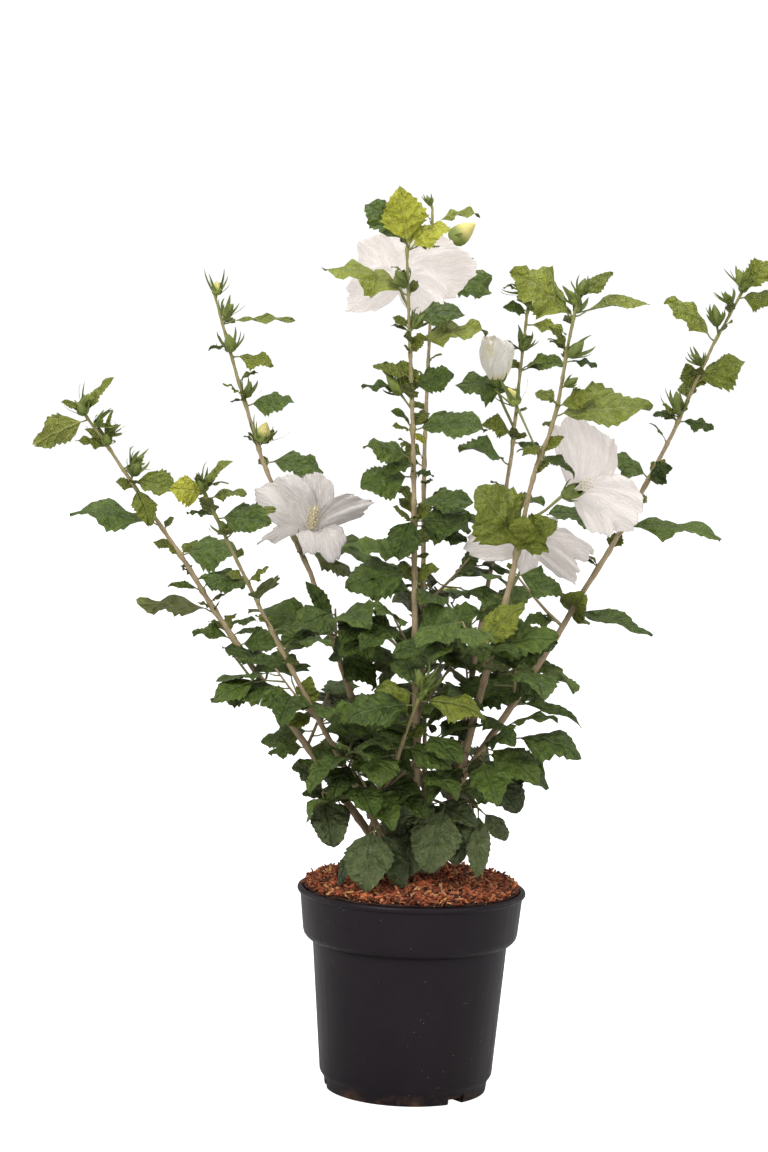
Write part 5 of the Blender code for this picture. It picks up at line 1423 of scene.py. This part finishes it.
def pot_finish(groups):
    made, wires, shader, place = new_finish("black_plastic", 0.40)
    shader.inputs["Specular IOR Level"].default_value = 0.16
    tone = wires.group(groups["mottle"], Place=place, Scale=18.0)["Tone"]
    base = wires.blend(tone, colour(0.0120, 0.0085, 0.0115), colour(0.0165, 0.0120, 0.0150))
    height = wires.add("ShaderNodeSeparateXYZ", {"Vector": place}).outputs["Z"]
    patch = wires.noise(place, 45.0, 4.0, 0.7)
    dirt = wires.math("MULTIPLY", wires.span(height, 0.001, 0.014, 1.0, 0.0), wires.span(patch, 0.48, 0.66))
    base = wires.blend(wires.math("MULTIPLY", dirt, 0.55), base, colour(0.16, 0.085, 0.045))
    few = wires.span(wires.noise(place, 9.0, 2.0), 0.45, 0.62, 0.01, 0.09)
    dust = wires.group(groups["speckles"], Place=place, Scale=330.0, Share=few, Size=0.16)["Mask"]
    base = wires.blend(wires.math("MULTIPLY", dust, 0.45), base, colour(0.30, 0.27, 0.25))
    wires.feed(shader.inputs["Base Color"], base)
    drawn = wires.add("ShaderNodeMapping", {"Vector": place, "Scale": (1.0, 1.0, 0.08)}).outputs["Vector"]
    scuff = wires.noise(drawn, 140.0, 3.0)
    wires.feed(shader.inputs["Roughness"], wires.math("ADD", wires.span(scuff, 0.3, 0.7, 0.34, 0.46),
                                                     wires.math("MULTIPLY", dirt, 0.4)))
    raise_from(wires, shader, wires.noise(place, 1500.0, 2.0), 0.00010)
    return made


def cream_finish(groups):
    made, wires, shader, place = new_finish("stamen_cream", 0.70)
    shade = wires.add("ShaderNodeAttribute", attribute_name="shade").outputs["Fac"]
    tone = wires.group(groups["mottle"], Place=place, Scale=300.0)["Tone"]
    pale = wires.blend(tone, colour(0.74, 0.70, 0.50), colour(0.80, 0.77, 0.62))
    wires.feed(shader.inputs["Base Color"], wires.blend(shade, pale, colour(0.72, 0.58, 0.26)))
    raise_from(wires, shader, tone, 0.0003)
    return made


def set_stage():
    """A pale floor, even light from a pale surround and broad soft lamps, and the camera."""
    clear_selection()
    bpy.ops.mesh.primitive_plane_add(size=24.0, location=(0, 0, -0.0003))
    floor = bpy.context.object
    floor.name = "studio_floor"
    made, wires, shader, place = new_finish("studio_floor", 0.9)
    shader.inputs["Base Color"].default_value = colour(0.60, 0.60, 0.60)
    shader.inputs["Emission Color"].default_value = colour(1.0, 1.0, 1.0)
    wires.feed(shader.inputs["Emission Strength"], wires.add("ShaderNodeLightPath").outputs["Is Camera Ray"])
    shader.inputs["Specular IOR Level"].default_value = 0.0
    floor.data.materials.append(made)

    world = bpy.data.worlds.new("studio")
    world.use_nodes = True
    bpy.context.scene.world = world
    wires = Wiring(world.node_tree)
    ground = world.node_tree.nodes["Background"]
    ground.inputs["Color"].default_value = colour(1.0, 1.0, 1.0)
    seen = wires.add("ShaderNodeLightPath").outputs["Is Camera Ray"]
    wires.feed(ground.inputs["Strength"], wires.span(seen, 0.0, 1.0, 0.37, 1.05))

    for name, place, aim, size, power in LAMPS:
        lamp = bpy.data.lights.new(name, "AREA")
        lamp.size = size
        lamp.energy = power
        holder = bpy.data.objects.new(name, lamp)
        holder.location = place
        holder.rotation_euler = (Vector(aim) - Vector(place)).to_track_quat("-Z", "Y").to_euler()
        bpy.context.scene.collection.objects.link(holder)

    eye = bpy.data.cameras.new("studio_camera")
    eye.sensor_fit = "VERTICAL"
    eye.sensor_height = SENSOR_HEIGHT
    eye.lens = LENS
    camera = bpy.data.objects.new("studio_camera", eye)
    camera.location = CAMERA_PLACE
    pitch = Matrix.Rotation(math.radians(90 - CAMERA_PITCH), 3, "X")
    roll = Matrix.Rotation(math.radians(CAMERA_ROLL), 3, "Z")
    camera.rotation_euler = (pitch @ roll).to_euler()
    bpy.context.scene.collection.objects.link(camera)
    bpy.context.scene.camera = camera
    bpy.context.scene.view_settings.view_transform = "Standard"
    bpy.context.scene.view_settings.look = "None"


def grow_masses(stems):
    """Each stem's own masses: the shoot first, then its low twig and its sprays."""
    families = {}
    for number, stem in enumerate(stems.values()):
        families[stem.name] = [grow_shoot(stem, number * 10 + 1)]
    seed = 100
    for name, stem_name, place, end, _ in LOW_TWIGS:
        seed += 1
        foot = stems[stem_name].at(place)
        reach = np.array(end) - foot
        arch = UP * LOW_TWIG_ARCH
        axis = [foot + reach * share + arch * math.sin(math.pi * share) for share in SPRAY_STATIONS]
        families[stem_name].append(Mass("spray_" + name, axis, seed))
    for stem in stems.values():
        for number in range(stem.sprays):
            seed += 1
            families[stem.name].append(grow_spray(stem, number, seed))
    return families


def list_shown(stems, families):
    """The leaves that stand clear, each on the shoot or on the spray nearest to its node."""
    shown = []
    for name, stem_name, _, _, leaves in LOW_TWIGS:
        mass = next(other for other in families[stem_name] if other.name == "spray_" + name)
        for share, tip, width, face in leaves:
            root = mass.point(share)
            shown.append((root, np.array(tip) - root, math.radians(face), width, LOW))
    for stem in stems.values():
        for drop, right, back, up, face, width, kind in SHOWN_LEAVES[stem.name]:
            place = stem.place_below_tip(drop)
            root = spot = stem.at(place)
            reach = np.array((right, back, up)) / 1000
            if place > stem.bare + 0.01:
                stem.nodes.append(place)
            else:
                aim = spot + reach * 0.3
                sprays = families[stem.name][1:]
                mass = min(sprays, key=lambda other: np.linalg.norm(other.nearest(aim) - spot))
                root = mass.nearest(aim)
            shown.append((root, spot + reach - root, math.radians(face), width, kind))
    return shown


def leaf_out(plant, stems, families, shown):
    """Hangs every leaf and bud on the plant: the listed ones first, then the rule's, then the small ones."""
    chance = random.Random(7)
    for root, reach, face, width, kind in shown:
        roundness = chance.uniform(0.8, 1.0) if kind == LOW else chance.uniform(0.0, 0.5)
        plant.keep(Leaf(root, reach, face, chance, width, TEETH + 1, roundness), kind, chance)
    for stem in stems.values():
        for drop, right, back, up, swell, bract_length, open_tip in SHOWN_BUDS[stem.name]:
            root = stem.at(stem.place_below_tip(drop))
            reach = np.array((right, back, up)) / 1000
            grow_bud(plant, root, reach, swell / 1000, bract_length / 1000, open_tip, chance)
    for mass in (mass for family in families.values() for mass in family):
        if mass.name.startswith("spray_"):
            last = len(mass.axis) - 1
            radii = [SPRAY_RADIUS * (1 - SPRAY_TAPER * index / last) for index in range(len(mass.axis))]
            tube(plant.bark, mass.axis, radii, 7, 0.15)
        if mass.name in AGAINST_THE_SKY:
            continue
        for start, end in mass.twigs:
            tube(plant.green, [start, (start + end) / 2, end], (0.0012, 0.0010, 0.0009), 6, 0.3)
        for root, reach, face, kind in mass.leaves:
            plant.try_leaf(root, reach, face, kind, chance)
    for stem in stems.values():
        for place in stem.nodes:
            if chance.random() < SMALL_LEAF_SHARE:
                size = SMALL_LEAF_LENGTH * chance.uniform(0.6, 1.2)
                reach = reach_of(chance.uniform(0, 2 * math.pi), chance.uniform(0.1, 0.9), size)
                plant.try_leaf(stem.at(place), reach, chance.uniform(0, 0.8), GROWN, chance)


def thicken(sheet, thickness):
    """Gives a piece made of single sheets its thickness, half to each side."""
    clear_selection()
    bpy.context.view_layer.objects.active = sheet
    sheet.select_set(True)
    body = sheet.modifiers.new("body", "SOLIDIFY")
    body.thickness = thickness
    body.offset = 0.0
    bpy.ops.object.modifier_apply(modifier=body.name)


def dress():
    """Finishes the pot, grows the plant on it, and joins every heap into one piece under its finish."""
    groups = {"veins": make_vein_group(), "speckles": make_speckle_group(), "mottle": make_mottle_group()}
    set_stage()
    turn_pot(pot_finish(groups))
    frame["nodes"]["compost"].material_slots[0].material = compost_finish(groups)

    stems = {}
    for row in STEMS:
        stems[row[0]] = Stem(row, stems)
    plant = Plant()
    petals, cream = make_blooms(plant, stems)
    families = grow_masses(stems)
    shown = list_shown(stems, families)
    leaf_out(plant, stems, families, shown)
    dress_stems(plant, stems)
    stool_bark(plant)

    # The finishes, and the heaps joined each into one piece
    nodes = sorted(frame["nodes"])
    leafy = [name for name in nodes if name.startswith(("shoot_", "spray_"))]
    kinds = {kind: leaf_finish(kind, groups) for kind in KINDS}
    for kind in KINDS:
        slot = "young_foliage" if kind in (YOUNG, GROWN) else "old_foliage"
        plant.leaves[kind].piece(kind + "_leaves", kinds[kind], slot, leafy)
    pale, deep = colour(0.30, 0.33, 0.10), colour(0.13, 0.13, 0.05)
    stalk_green = green_finish("stalk_green", pale, deep, 0.55, groups)
    plant.green.piece("leaf_stalks", stalk_green, "young_foliage", leafy)
    pale, deep, petal_tip = colour(0.25, 0.30, 0.055), colour(0.060, 0.095, 0.018), colour(0.68, 0.60, 0.20)
    bud_green = green_finish("bud_green", pale, deep, 0.62, groups, petal_tip)
    plant.buds.piece("flower_buds", bud_green, "young_foliage", leafy)
    wooden = [name for name in nodes if name.startswith(("bough_", "stool"))]
    plant.bark.piece("barked_stems", bark_finish(groups), "stem_bark", wooden)
    blooms = [name for name in nodes if name.startswith("bloom_")]
    thicken(petals.piece("petals", petal_finish(groups), "petals", blooms), PETAL_THICKNESS)
    cream.piece("stamen_columns", cream_finish(groups), "petals", blooms)
    heap_mound(compost_finish(groups))
    chips, fibres = lay_mulch()
    chips.piece("bark_chips", mulch_finish("bark_chip", 0.0005), "mulch", ())
    fibres.piece("bark_fibres", mulch_finish("bark_fibre", 0.0002), "mulch", ())


dress()
